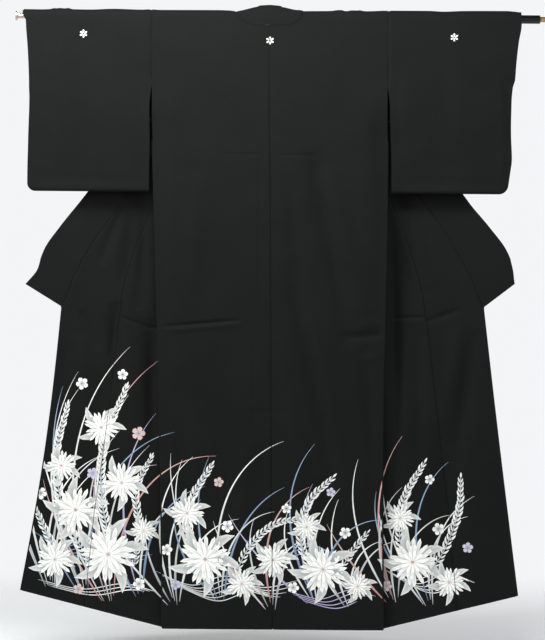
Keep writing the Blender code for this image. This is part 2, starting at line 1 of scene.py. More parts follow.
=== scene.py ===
# %% [markdown]
# # A formal black kimono on its rod
# A kurotomesode is the most formal kimono of Japanese dress: black silk crepe with small white
# marks on the shoulders and a dyed picture below the waist. It is cut from one long bolt into
# straight strips, so nearly every edge here is a straight line that gravity and folding have bent.
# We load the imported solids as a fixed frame, and lay finer cloth on the same surfaces.

# %% Load the frame
import math
from collections import namedtuple
from functools import lru_cache

import bmesh
import bpy
import numpy as np
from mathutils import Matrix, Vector, noise
from mathutils.bvhtree import BVHTree


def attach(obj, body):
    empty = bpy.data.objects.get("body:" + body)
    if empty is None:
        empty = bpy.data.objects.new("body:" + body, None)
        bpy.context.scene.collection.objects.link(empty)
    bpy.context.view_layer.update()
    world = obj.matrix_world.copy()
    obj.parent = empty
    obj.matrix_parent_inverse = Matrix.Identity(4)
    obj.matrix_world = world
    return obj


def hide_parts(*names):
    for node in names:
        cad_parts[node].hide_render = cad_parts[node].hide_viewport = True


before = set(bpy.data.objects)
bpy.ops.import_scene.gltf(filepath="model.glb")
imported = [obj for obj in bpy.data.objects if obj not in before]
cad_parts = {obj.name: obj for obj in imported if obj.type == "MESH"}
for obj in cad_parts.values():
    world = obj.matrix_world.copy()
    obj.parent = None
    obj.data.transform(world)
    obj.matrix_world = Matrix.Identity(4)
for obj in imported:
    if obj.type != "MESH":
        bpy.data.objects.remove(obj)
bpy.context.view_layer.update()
print("CAD nodes:", sorted(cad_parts))

# %% [markdown]
# ## The camera
# The photograph was taken squarely from behind the garment, from some way off and about level
# with its middle. A long lens from 8 m gives the same nearly flat view. The picture leans by
# less than half a degree, so the camera is rolled by as much.

# %% Camera
PHOTO_HEIGHT = 1.741  # metres that the frame shows at the rod's depth
CAMERA_AWAY = 8.0
CAMERA_ROLL = 0.0075
CAMERA_X = 0.0131
CAMERA_Z = -0.823
SENSOR = 36.0
bpy.ops.object.camera_add(
    location=(CAMERA_X, -CAMERA_AWAY, CAMERA_Z), rotation=(math.pi / 2, -CAMERA_ROLL, 0)
)
camera = bpy.context.object
camera.name = "camera"
camera.data.sensor_fit = "VERTICAL"
camera.data.sensor_height = SENSOR
camera.data.lens = SENSOR * CAMERA_AWAY / PHOTO_HEIGHT
camera.data.clip_end = 60
bpy.context.scene.camera = camera
print("lens", round(camera.data.lens, 1), "mm")

# %% [markdown]
# ## Light and ground
# Black cloth shows its form only by what it reflects. A wide light stands in front and above,
# close enough that the shoulders get more of it than the hem. Two others graze the folds from the
# sides, the left one stronger, and one stands behind for the lining. A pale surround, brightest
# round the horizon, fills the rest.

# %% Colour from a hex code
def linear(code):
    """A colour that is written as sRGB hex, as the shader wants it."""
    values = [int(code[i : i + 2], 16) / 255 for i in (1, 3, 5)]
    values = [v / 12.92 if v <= 0.04045 else ((v + 0.055) / 1.055) ** 2.4 for v in values]
    return (*values, 1.0)


# %% One function for every shader node
def connect(node, links):
    """Links inputs of a node to outputs, or to the first output of a node that is given."""
    for socket, source in dict(links).items():
        source = getattr(source, "outputs", [source])[0]
        node.id_data.links.new(source, node.inputs[socket])


def add_node(tree, kind, values=(), links=(), **settings):
    """Adds a node, sets its properties and the values of its inputs, and links other outputs."""
    node = tree.nodes.new("ShaderNode" + kind)
    for name, value in settings.items():
        setattr(node, name, value)
    for socket, value in dict(values).items():
        node.inputs[socket].default_value = value
    connect(node, links)
    return node


def new_material(name, **sockets):
    """A named material, with plain numbers or colours set on its shader, and its node tree."""
    made = bpy.data.materials.new(name)
    made.use_nodes = True
    shader = made.node_tree.nodes["Principled BSDF"]
    for socket, value in sockets.items():
        shader.inputs[socket.replace("_", " ")].default_value = value
    return made, made.node_tree, shader


MIX_A, MIX_B, MIX_RESULT = 6, 7, 2  # a Mix node's colour sockets

# %% Lights
def add_area_light(name, place, target, size, power, colour):
    bpy.ops.object.light_add(type="AREA", location=place)
    lamp = bpy.context.object
    lamp.name = name
    lamp.rotation_euler = (Vector(target) - Vector(place)).to_track_quat("-Z", "Y").to_euler()
    lamp.data.shape = "RECTANGLE"
    lamp.data.size, lamp.data.size_y = size
    lamp.data.energy = power
    lamp.data.color = linear(colour)[:3]


add_area_light("high light", (-0.35, -1.0, 0.62), (0.05, 0, -0.3), (1.6, 0.4), 50, "#fbfffe")
add_area_light("left light", (-2.7, -1.9, 0.1), (0, 0, -0.65), (0.7, 1.4), 76, "#fdfffe")
add_area_light("right light", (2.9, -1.5, 0.25), (0.15, 0, -0.45), (0.8, 1.4), 44, "#f6faff")
add_area_light("back light", (0.6, 2.6, 1.2), (0, 0, -0.7), (2.0, 1.4), 45, "#ffffff")

# %% A surround that is brightest near the horizon
world = bpy.data.worlds.new("pale studio")
bpy.context.scene.world = world
world.use_nodes = True
tree = world.node_tree
direction = add_node(tree, "TexCoord")
axes = add_node(tree, "SeparateXYZ", {}, {0: direction.outputs["Generated"]})
height = add_node(
    tree,
    "MapRange",
    {"From Min": 0.22, "From Max": 0.55, "To Min": 0.90, "To Max": 0.25},
    {"Value": axes.outputs["Z"]},
    interpolation_type="SMOOTHSTEP",
)
ray = add_node(tree, "LightPath")
seen = add_node(
    tree, "MapRange", {"To Min": 0.66, "To Max": 1.04}, {"Value": ray.outputs["Is Camera Ray"]}
)
strength = add_node(tree, "Math", {}, {0: height, 1: seen}, operation="MULTIPLY")
sky = tree.nodes["Background"]
sky.inputs["Color"].default_value = linear("#fbfcfd")
connect(sky, {"Strength": strength})
bpy.context.scene.view_settings.view_transform = "Standard"

# %% Floor
FLOOR_Z = -1.72
FLOOR_SOLID, FLOOR_GONE = 0.7, 2.7  # metres from its middle, where it melts into the surround
FLOOR_SPECKLE = 1 / 3  # metres, the size of its faint patches
bpy.ops.object.select_all(action="DESELECT")
bpy.ops.mesh.primitive_plane_add(size=40, location=(0, 0, FLOOR_Z))
floor = bpy.context.object
floor.name = "floor"
floor_paint, tree, shader = new_material("pale matt floor paint", Roughness=0.9)
speckle = add_node(tree, "TexNoise", {"Scale": 1 / FLOOR_SPECKLE, "Detail": 3.0})
shade = add_node(
    tree,
    "Mix",
    {MIX_A: linear("#eff1f2"), MIX_B: linear("#f4f6f7")},
    {0: speckle},
    data_type="RGBA",
)
ground = add_node(tree, "TexCoord")
from_middle = add_node(tree, "VectorMath", {}, {0: ground.outputs["Object"]}, operation="LENGTH")
fade = add_node(
    tree,
    "MapRange",
    {"From Min": FLOOR_SOLID, "From Max": FLOOR_GONE, "To Min": 1.0, "To Max": 0.0},
    {"Value": from_middle.outputs["Value"]},
    interpolation_type="SMOOTHSTEP",
)
connect(shader, {"Base Color": shade.outputs[MIX_RESULT], "Alpha": fade})
floor.data.materials.append(floor_paint)

# %% [markdown]
# ## The cut, in the maker's measures
# Every surface is a function of two lengths that a kimono maker would measure: how far down the
# cloth from the shoulder line, and how far out from the centre. All but a few of these numbers made
# the solids too, so the fine cloth falls in the same place.

# %% Measures
SHOULDER_RADIUS = 0.0145  # the outer face of the cloth over the rod
SHOULDER_ARC = SHOULDER_RADIUS * math.pi / 2
HEM_DOWN = 1.6855
ARMHOLE_DOWN = 0.23
SIDE_SEAM_DOWN = 0.36
SHOULDER_OUT = 0.320
NECK_OUT = 0.090
NECK_DROP = 0.022
OVERLAP_TOP_DOWN = 0.25
OVERLAP_SEAM_IN = 0.070
FRONT_EDGE_PAST_CENTRE = 0.090
COLLAR_END_DOWN = 0.8955
OVER_COLLAR_DOWN = 0.36
SLEEVE_DROP = 0.4995
CUFF_DOWN = 0.23
CUFF_EASE = 0.015  # the open cuff goes over into the sewn edge within this, up and down
SLEEVE_SEWN_DOWN = 0.21
SLEEVE_SEWN_FADE = 0.03
SLEEVE_FLAT_DOWN = 0.46  # the two faces draw together on the way down to here
SLEEVE_FLATTENS = 0.20
SLEEVE_CORNER = 0.022
PILLOW_EDGE = 0.0085
SIDE_TURN = 0.00325
SIDE_TURN_INSET = 0.001
LEAST_LAP = 0.010
TURN_STARTS_DOWN = 0.045
SEAM_GAP = 0.00004  # the fine cloth meets in its seams
SEAMED_WALL = 0.002  # the solids' cloth, which the collar is sewn on beside
SEAM_REACH = 0.06  # a panel comes to its own depth this far from its side seam
CREASE_SOFTNESS = 0.6  # a crease fades out less at its ends than a fold
TO_VIEWER = Vector((0, -1, 0))

# %% How it hangs
SIDES = ("left", "right")


def table(fields, *rows):
    """Rows of numbers under named fields."""
    kind = namedtuple("Row", fields)
    return [kind(*row) for row in rows]


# The end of the collar, the corner of the hem, how hollow the edge between them is, how the seam
# of the collar is bowed by the pull on it, and how far its tip is drawn.
WINGS = table(
    "end_out end_z corner_out corner_z hollow pull pull_at pull_reach tip_out tip_z",
    (0.5735, -0.790, 0.6875, -1.562, 0.012, 0.018, 0.82, 0.17, 0.0111, 0.0069),
    (0.5813, -0.784, 0.6695, -1.568, 0.001, 0.019, 0.78, 0.22, -0.0035, 0.0110),
)
WINGS = dict(zip(SIDES, WINGS))
# How far out the side is, and how deep the back, the front, its turn and its edge lie.
LEVELS = table(
    "down side back_y front_y turn edge_y",
    (0.0225, 0.320, -0.0143, 0.0143, 0.0010, 0.0155),
    (0.060, 0.320, -0.0143, 0.0143, 0.0050, 0.0240),
    (0.120, 0.320, -0.0143, 0.0143, 0.0100, 0.0320),
    (0.230, 0.320, -0.0143, 0.0143, 0.0140, 0.0400),
    (0.360, 0.3195, -0.0138, 0.0120, 0.0165, 0.0430),
    (0.500, 0.3165, -0.0130, 0.0095, 0.0170, 0.0440),
    (0.650, 0.313, -0.0120, 0.0080, 0.0160, 0.0420),
    (0.8955, 0.307, -0.0105, 0.0065, 0.0130, 0.0360),
    (1.100, 0.3025, -0.0090, 0.0055, 0.0095, 0.0290),
    (1.350, 0.300, -0.0080, 0.0050, 0.0065, 0.0200),
    (HEM_DOWN, 0.299, -0.0070, 0.0045, 0.0040, 0.0120),
)
# The whole garment hangs a little askew.
SWAYS = table(
    "down shift",
    (0.0, 0.0),
    (0.25, 0.0010),
    (0.38, 0.0040),
    (0.67, 0.0080),
    (1.08, 0.0120),
    (HEM_DOWN, 0.0200),
)
# The outer edges of the sleeves follow the photograph more closely than the solids do, and the gap
# is what opens between the sleeve and the body below the seam.
SLEEVE_EDGES = {
    "left": table(
        "down out gap",
        (0.0, 0.6640, 0.0003),
        (0.006, 0.6695, 0.0003),
        (0.014, 0.6718, 0.0003),
        (0.024, 0.6700, 0.0003),
        (0.034, 0.6635, 0.0003),
        (0.057, 0.6620, 0.0003),
        (0.122, 0.6570, 0.0003),
        (0.210, 0.6537, 0.0003),
        (0.225, 0.6537, 0.0030),
        (0.262, 0.6540, 0.0068),
        (0.360, 0.6585, 0.0085),
        (0.450, 0.6618, 0.0130),
        (SLEEVE_DROP, 0.6625, 0.0150),
    ),
    "right": table(
        "down out gap",
        (0.0, 0.6830, 0.0003),
        (0.040, 0.6838, 0.0003),
        (0.085, 0.6765, 0.0003),
        (0.150, 0.6695, 0.0003),
        (0.190, 0.6665, 0.0003),
        (0.210, 0.6605, 0.0003),
        (0.225, 0.6590, 0.0030),
        (0.265, 0.6578, 0.0072),
        (0.345, 0.6560, 0.0087),
        (0.400, 0.6572, 0.0100),
        (0.450, 0.6508, 0.0110),
        (SLEEVE_DROP, 0.6430, 0.0120),
    ),
}
SLEEVE_WIDTHS = {"left": 0.3395, "right": 0.3630}  # as cut, from seam to cuff

# %% [markdown]
# ## Folds, tucks and pressed lines
# A kimono is stored folded flat, and silk crepe keeps the lines of that folding for years. Three
# kinds show here: soft troughs where the cloth hangs in waves, sharp lines where it was folded
# over for storage, and the short tuck at the waist that takes up spare length. Each is written as
# a line from one place to another with a width and a depth, so it can be moved by hand.

# %% Folds
Fold = namedtuple("Fold", "out z end_out end_z width depth")


def folds_of(*rows):
    """Folds from rows of millimetres."""
    return [Fold(*(value / 1000 for value in row)) for row in rows]


FOLDS = {
    ("back", "right"): folds_of(
        (115, -360, 215, -900, 24, 11.5),
        (150, -400, 260, -800, 24, -5.5),
        (45, -660, 180, -1280, 22, 12.5),
        (95, -800, 215, -1300, 22, -6.5),
        (20, -800, 90, -1350, 24, -4),
        (250, -850, 285, -1250, 20, 7.5),
        (50, -420, 80, -780, 18, 3),
        (150, -1150, 170, -1640, 26, 4),
    ),
    ("back", "left"): folds_of(
        (200, -420, 215, -800, 28, -4.5),
        (120, -900, 150, -1500, 35, 4),
        (250, -950, 235, -1500, 24, 4.5),
        (60, -1020, 100, -1620, 24, -3.5),
    ),
    ("wing", "right"): folds_of(
        (555, -840, 505, -1220, 22, 10),
        (520, -800, 470, -1150, 22, -6),
        (460, -1100, 470, -1600, 30, 6),
        (360, -520, 430, -740, 22, -6),
        (475, -480, 560, -620, 20, -7),
        (468, -1000, 500, -1620, 40, 12),
        (330, -500, 340, -1160, 20, 14),
        (398, -820, 405, -1300, 22, 7.5),
        (350, -500, 425, -720, 14, 4.5),
    ),
    ("wing", "left"): folds_of(
        (430, -780, 420, -1020, 18, 11),
        (380, -520, 400, -740, 20, 6),
        (460, -490, 540, -620, 20, -8),
        (520, -860, 500, -1200, 26, -6),
        (560, -880, 590, -1400, 22, 6),
        (400, -500, 470, -680, 14, 5),
        (470, -950, 520, -1580, 42, 6),
        (342, -500, 360, -800, 16, 6.5),
        (326, -820, 322, -1200, 20, 14),
    ),
}

# %% Lines of storage, too fine for the solids
CREASES = {
    ("back", "left"): folds_of(
        (22, -373, 130, -374, 3.5, 1.2),
        (85, -824, 292, -843, 5, 4.6),
        (80, -836, 290, -855, 7, -2.2),
        (-40, -1073, 90, -1073, 5, 1),
        (30, -370, 34, -820, 4, 1.1),
        (44, -860, 48, -1150, 4, 1.1),
        (160, -50, 163, -1600, 4.5, -0.7),
    ),
    ("back", "right"): folds_of(
        (18, -374, 126, -376, 3.5, 1.2),
        (195, -868, 315, -862, 11, 5),
        (235, -838, 300, -832, 12, -2.2),
        (235, -930, 300, -925, 12, -2.2),
        (-90, -1073, 45, -1073, 5, 1),
        (160, -50, 158, -1600, 4.5, -0.7),
    ),
    ("wing", "left"): folds_of(
        (300, -849, 355, -842, 5.5, 3.4),
        (345, -842, 410, -818, 5.5, 3.4),
        (420, -775, 440, -930, 10, 6),
        (520, -800, 478, -905, 10, 5),
        (415, -480, 525, -500, 15, 12),
    ),
    ("wing", "right"): folds_of(
        (330, -815, 425, -813, 5.5, 3.4),
        (415, -828, 520, -790, 7, 4.6),
        (440, -475, 525, -495, 15, 11),
        (440, -1250, 450, -1590, 6, 2),
    ),
    ("front", "left"): folds_of((290, -848, 200, -845, 5, 1.2)),
    ("front", "right"): folds_of((290, -820, 200, -816, 5, 1.2)),
}
for name, folds in (("folds:", FOLDS), ("creases:", CREASES)):
    print(name, sum(len(rows) for rows in folds.values()))

# %% The line of the shoulders
# The cloth doesn't lie tight on the rod. It arches over it, higher at the right, with small bumps
# where it is gathered. Each row is a place along the rod and the millimetres it stands up there.
SHOULDER_RISES = table(
    "along up",
    (-0.680, 3.4), (-0.620, 3.0), (-0.558, 5.8), (-0.535, 3.9), (-0.490, 3.4), (-0.424, 5.9),
    (-0.348, 4.1), (-0.327, 5.2), (-0.300, 3.8), (-0.139, 4.5), (-0.105, 3.4), (-0.085, 0.0),
    (-0.025, 0.3), (-0.002, 1.7), (0.030, -0.4), (0.060, 0.0), (0.088, 3.2), (0.166, 4.4),
    (0.185, 6.8), (0.204, 3.7), (0.238, 5.7), (0.261, 4.4), (0.318, 6.2), (0.432, 6.6),
    (0.471, 4.8), (0.530, 7.1), (0.642, 7.8), (0.682, 4.5),
)

# %% The collar's fold
COLLAR_FOLDS = table(
    "at fold_out fold_y fold_z free_out free_y free_z arched",
    (-1.000, 0, 15.5, 54.5, 0, 31.5, 6, 1),
    (-0.950, -22, 16.5, 49.5, -20, 32.5, 2.5, 1),
    (-0.800, -23.6, 18.5, 39, -19.6, 34, -5.5, 1),
    (-0.505, -25, 21.5, 22, -19, 37, -21, 1),
    (-0.252, -21, 23.4, 8.5, -14, 38.4, -36, 1),
    (0.0000, -14.7, 21, 1.5, -6.7, 35, -44, 1),
    (0.0113, -13.8, 17, 2, -4.8, 31, -42, 1),
    (0.0225, -14, 16.5, 7, -6, 28.5, -35, 1),
    (0.0350, -10, 19, 15, -3, 29, -22, 1),
    (0.0600, 8, 19, 23, 0, 29, -12, 1),
    (0.0900, 28, 16, 27, 8, 26, -4, 1),
    (0.1200, 44, 11, 29, 20, 22, 5, 1),
    (0.1500, 54, 7, 32, 33, 20, 14, 0.9),
    (0.1750, 58, 4, 35, 46, 20, 25, 0.8),
    (0.2300, 60, 1, 37, 66, 18, 40, 0.5),
    (0.3000, 56, 0, 34, 82, 7, 50, 0.1),
    (0.3600, 50, 0, 30.5, 89.6, 0, 54.7, 0),
    (1.0000, 43.5, 0, 26.6, 87, 0, 53.2, 0),
)
COLLAR_PROUD = 0.0012
TIP_STARTS_DOWN = 0.50  # from here on its free edge is drawn towards the tip of the wing

# How far the free edge is drawn outwards besides, at a distance down, in millimetres: it sags under
# the sleeve and is pulled out lower down.
COLLAR_DRAWN = {
    "left": table(
        "down out",
        (0.42, 0.0), (0.49, -8.0), (0.57, -17.0), (0.65, -20.0), (0.73, -16.0), (0.79, -10.0),
        (0.85, -15.0), (COLLAR_END_DOWN, 0.0),
    ),
    "right": table(
        "down out",
        (0.42, 0.0), (0.49, -4.0), (0.57, -9.0), (0.65, -8.0), (0.73, 5.0), (0.80, 17.0),
        (0.85, 13.0), (COLLAR_END_DOWN, 0.0),
    ),
}

# %% [markdown]
# ## From measures to surfaces
# Hung by its sleeves with its back to us, the kimono's fronts fall behind the back, turn over on
# themselves and open outwards as two wings. So each front is one strip that runs in from the side
# seam, goes round a soft turn, and comes out again. The functions below give a point of the outer
# face for any place on the flat cut.

# %% Smooth steps and tables
def clamp(value):
    return min(max(value, 0.0), 1.0)


def ease(value):
    value = clamp(value)
    return value * value * (3 - 2 * value)


def between(rows, at):
    """The table's row at a place between its rows, on a smooth curve that never overshoots."""
    keys = [row[0] for row in rows]
    at = min(max(at, keys[0]), keys[-1])
    k = max(i for i in range(len(keys) - 1) if keys[i] <= at)
    span = keys[k + 1] - keys[k]
    t = (at - keys[k]) / span
    values = []
    for column in range(len(rows[0])):
        here, there = rows[k][column], rows[k + 1][column]
        slope = (there - here) / span
        before = after = slope
        if k > 0:
            last = (here - rows[k - 1][column]) / (keys[k] - keys[k - 1])
            before = 0.0 if last * slope <= 0 else 2 * last * slope / (last + slope)
        if k + 2 < len(keys):
            coming = (rows[k + 2][column] - there) / (keys[k + 2] - keys[k + 1])
            after = 0.0 if coming * slope <= 0 else 2 * coming * slope / (coming + slope)
        rise = there - here
        values.append(
            here
            + t * (span * before + t * (3 * rise - span * (2 * before + after)))
            + t * t * t * (span * (before + after) - 2 * rise)
        )
    return type(rows[0])(*values)


@lru_cache(None)
def level_at(down):
    return between(LEVELS, max(down, LEVELS[0].down))


# %% Height, lean and side
def z_of(down):
    """Height of the cloth that far down, hanging straight from the rod."""
    if down < SHOULDER_ARC:
        return SHOULDER_RADIUS * math.cos(down / SHOULDER_RADIUS)
    return SHOULDER_ARC - down


def sign_of(side):
    return -1.0 if side == "left" else 1.0


def sway_at(z):
    return between(SWAYS, clamp(-z / HEM_DOWN) * HEM_DOWN).shift


def placed(side, out, y, z):
    return Vector((sign_of(side) * out + sway_at(z), y, z))


# %% Depth of the folds at a place
def fold_depth(folds, out, z, softness=1.0):
    total = 0.0
    for fold in folds:
        run_out, run_z = fold.end_out - fold.out, fold.end_z - fold.z
        length = math.hypot(run_out, run_z)
        across = ((out - fold.out) * run_z - (z - fold.z) * run_out) / length
        if abs(across) > 3 * fold.width:
            continue
        along = ((out - fold.out) * run_out + (z - fold.z) * run_z) / length
        fade = math.sin(math.pi * clamp(along / length)) ** (0.7 * softness)
        total += fold.depth * fade * math.exp(-((across / fold.width) ** 2))
    return total


def back_depth(folds, side, out, z, softness=1.0):
    """Depth of the folds of the back, which run on over its centre seam."""
    near, far = folds["back", side], folds["back", "right" if side == "left" else "left"]
    return fold_depth(near, out, z, softness) + fold_depth(far, -out, z, softness)


Waves = namedtuple("Waves", "height size seed")
FRONT_WAVES = Waves(0.0012, 0.09, 3.1)
BACK_WAVES = Waves(0.0016, 0.10, 7.7)
SLEEVE_WAVES = {-1: Waves(0.0014, 0.09, 4.0), 1: Waves(0.0014, 0.09, 6.0)}
PADDING_WAVES = Waves(0.06, 0.04, 2.0)


def ripple(out, z, waves):
    """The slight unevenness of hung silk: waves of about that size, with finer ones on them."""
    height, size, seed = waves
    coarse = noise.noise(Vector((out / size, z / size, seed)))
    fine = noise.noise(Vector((3.1 * out / size, 2.3 * z / size, seed + 9)))
    return height * (coarse + 0.35 * fine)


# %% Where the edge of an open front hangs
def seam_in(down):
    """How far in from the centre line the front is cut, positive where the fronts overlap."""
    if down <= OVERLAP_TOP_DOWN:
        return -NECK_OUT + (NECK_OUT - OVERLAP_SEAM_IN) * down / OVERLAP_TOP_DOWN
    share = clamp((down - OVERLAP_TOP_DOWN) / (COLLAR_END_DOWN - OVERLAP_TOP_DOWN))
    return -OVERLAP_SEAM_IN + (OVERLAP_SEAM_IN + FRONT_EDGE_PAST_CENTRE) * share


def collar_seam_length(down):
    upper = math.hypot(NECK_OUT - OVERLAP_SEAM_IN, OVERLAP_TOP_DOWN)
    if down <= OVERLAP_TOP_DOWN:
        return upper * down / OVERLAP_TOP_DOWN
    lower = math.hypot(
        OVERLAP_SEAM_IN + FRONT_EDGE_PAST_CENTRE, COLLAR_END_DOWN - OVERLAP_TOP_DOWN
    )
    return upper + lower * (down - OVERLAP_TOP_DOWN) / (COLLAR_END_DOWN - OVERLAP_TOP_DOWN)


def collar_run(side):
    return Vector((WINGS[side].end_out - NECK_OUT, WINGS[side].end_z - SHOULDER_RADIUS))


@lru_cache(None)
def edge_place(side, down):
    """Out and z of the collar seam, or below the collar of the front edge."""
    wing = WINGS[side]
    if down <= COLLAR_END_DOWN:
        share = collar_seam_length(down) / collar_seam_length(COLLAR_END_DOWN)
        pull = wing.pull * math.exp(-(((share - wing.pull_at) / wing.pull_reach) ** 2))
        pull *= clamp((1 - share) / 0.08) * clamp((share - 0.1) / 0.3)  # none at its ends
        run = collar_run(side)
        across = Vector((-run.y, run.x)).normalized()
        return Vector((NECK_OUT, SHOULDER_RADIUS)) + run * share + across * pull
    share = (down - COLLAR_END_DOWN) / (HEM_DOWN - COLLAR_END_DOWN)
    hollow = wing.hollow * math.sin(math.pi * share)
    out = wing.end_out + (wing.corner_out - wing.end_out) * share - hollow
    return Vector((out, wing.end_z + (wing.corner_z - wing.end_z) * share))


# %% The front, from its side seam to its edge
def front_width(down):
    return level_at(down).side + seam_in(down)


def body_width(down):
    """Flat width of the front's body strip, up to the overlap panel or the collar."""
    return level_at(down).side + min(seam_in(down), -OVERLAP_SEAM_IN)


@lru_cache(None)
def turn_middle(side, down):
    """Out of the middle of the front's turn, found so that the cloth keeps its cut width."""
    level = level_at(down)
    edge_out, edge_z = edge_place(side, down)
    rise = edge_z - z_of(down)
    spare = seam_in(down) - math.pi * level.turn
    middle = (edge_out**2 + rise**2 - spare**2) / (2 * (spare + edge_out))
    return min(middle, level.side - LEAST_LAP)


def front_point(side, down, across):
    """A point of the front's outer face, that far down and across the flat cut from the side."""
    level = level_at(down)
    z = z_of(down)
    if down <= SHOULDER_ARC:
        edge_out = edge_place(side, down).x
        out = level.side + (edge_out - level.side) * across / front_width(down)
        return placed(side, out, SHOULDER_RADIUS * math.sin(down / SHOULDER_RADIUS), z)
    middle = turn_middle(side, down)
    first = level.side - middle
    turned = first + math.pi * level.turn
    if across < first:
        out = level.side - across
        open_side = ease((SIDE_SEAM_DOWN - down) / (SIDE_SEAM_DOWN - ARMHOLE_DOWN))
        seamed_y = SIDE_TURN - SIDE_TURN_INSET
        side_y = seamed_y + (level.front_y - seamed_y) * open_side
        near_side = 1 - ease(across / min(SEAM_REACH, 0.9 * first))
        y = level.front_y + (side_y - level.front_y) * near_side
        y -= fold_depth(CREASES["front", side], out, z) * ease(across / 0.02)
        return placed(side, out, y, z)
    if across < turned:
        angle = (across - first) / level.turn
        out = middle - level.turn * math.sin(angle)
        return placed(side, out, level.front_y + level.turn * (1 - math.cos(angle)), z)
    edge_out, edge_z = edge_place(side, down)
    share = (across - turned) / (front_width(down) - turned)
    out = middle + (edge_out - middle) * share
    z += (edge_z - z) * share
    y = level.front_y + 2 * level.turn
    y += (level.edge_y - y) * ease(share)
    free = ease((across - turned) / 0.05)
    y += fold_depth(FOLDS["wing", side], out, z) * free
    y += fold_depth(CREASES["wing", side], out, z, CREASE_SOFTNESS) * free
    y += ripple(out, z, FRONT_WAVES) * free * ease((down - 0.2) / 0.2)
    return placed(side, out, y, z)


# %% The back
def neck_cut(share, inset=0.0):
    """How far out and how far down the neck is cut, from its side at 0 to the centre at 1."""
    out = (NECK_OUT - inset) * (1 - share**2) ** 0.25
    return out, (SHOULDER_ARC + NECK_DROP - inset) * share


# Where cloth is gathered on the rod: out from the centre, width and height of each small ruck
RUCKS = {
    "left": ((0.548, 0.006, 0.0022), (0.572, 0.008, 0.0016), (0.588, 0.005, 0.0022)),
    "right": ((0.196, 0.007, 0.0020), (0.222, 0.009, 0.0018), (0.245, 0.006, 0.0016)),
}


def rucked(side, out, down):
    """How far the cloth over the rod is lifted where it has slid together."""
    lift = sum(height * math.exp(-(((out - at) / width) ** 2)) for at, width, height in RUCKS[side])
    return lift * (1 - ease(down / 0.05))


def back_point(side, down, out):
    """A point of the back's outer face."""
    level = level_at(down)
    lift = rucked(side, out, down)
    if down <= SHOULDER_ARC:
        radius = SHOULDER_RADIUS + lift
        angle = down / SHOULDER_RADIUS
        return placed(side, out, -radius * math.sin(angle), radius * math.cos(angle))
    seamed = ease((down - ARMHOLE_DOWN) / (SIDE_SEAM_DOWN - ARMHOLE_DOWN))
    near_side = 1 - ease((level.side - out) / SEAM_REACH)
    y = level.back_y + (-SIDE_TURN - SIDE_TURN_INSET - level.back_y) * near_side * seamed
    z = z_of(down)
    free = ease((level.side - out) / 0.04)
    y += back_depth(FOLDS, side, out, z) * free
    creased = ease((level.side - out) / 0.015)
    y += back_depth(CREASES, side, out, z, CREASE_SOFTNESS) * creased
    y += ripple(sign_of(side) * out, z, BACK_WAVES) * free * ease((down - 0.03) / 0.2)
    return placed(side, out, y - lift, z)


# %% [markdown]
# ## Making cloth from rows of points
# A sheet of cloth is modelled as what it is: a fine grid that follows its surface, about 6 mm from
# thread to thread, then given its real thickness. Each point remembers where it lies on the flat
# cut, so the crepe's grain can follow the cloth round every fold. The inner face gets its own
# material, because a lined kimono is black outside and white silk inside.

# %% Spacing helper
def spread(start, end, step):
    """Places from start to end, no more than step apart, without the start."""
    count = max(1, math.ceil(abs(end - start) / step))
    return [start + (end - start) * (k + 1) / count for k in range(count)]


# %% A grid becomes a cloth object
THICKNESS = 0.0015  # crepe and lining
MERGE = 0.00001
FACING_DOWN = 1.245  # from here down to the hem the white lining gives way to a black facing


def raised(point):
    """A point of the cloth, lifted where it arches over the rod."""
    up = between(SHOULDER_RISES, point.x).up / 1000
    return point + Vector((0, 0, up * ease(point.z / SHOULDER_RADIUS)))


def add_object(name, data, *materials):
    """A new object in the scene, the only one selected."""
    for material in materials:
        data.materials.append(material)
    made = bpy.data.objects.new(name, data)
    bpy.context.scene.collection.objects.link(made)
    bpy.ops.object.select_all(action="DESELECT")
    bpy.context.view_layer.objects.active = made
    made.select_set(True)
    return made


def smoothed(made, degrees):
    """The object, shaded smooth but for its sharper edges."""
    bpy.ops.object.shade_smooth_by_angle(angle=math.radians(degrees))
    print(made.name, sum(len(face.vertices) - 2 for face in made.data.polygons), "triangles")
    return made


def closed_object(name, data, material, degrees):
    """An object from a closed mesh, with every face turned outwards."""
    made = add_object(name, data, material)
    bpy.ops.object.mode_set(mode="EDIT")
    bpy.ops.mesh.select_all(action="SELECT")
    bpy.ops.mesh.normals_make_consistent(inside=False)
    bpy.ops.object.mode_set(mode="OBJECT")
    return smoothed(made, degrees)


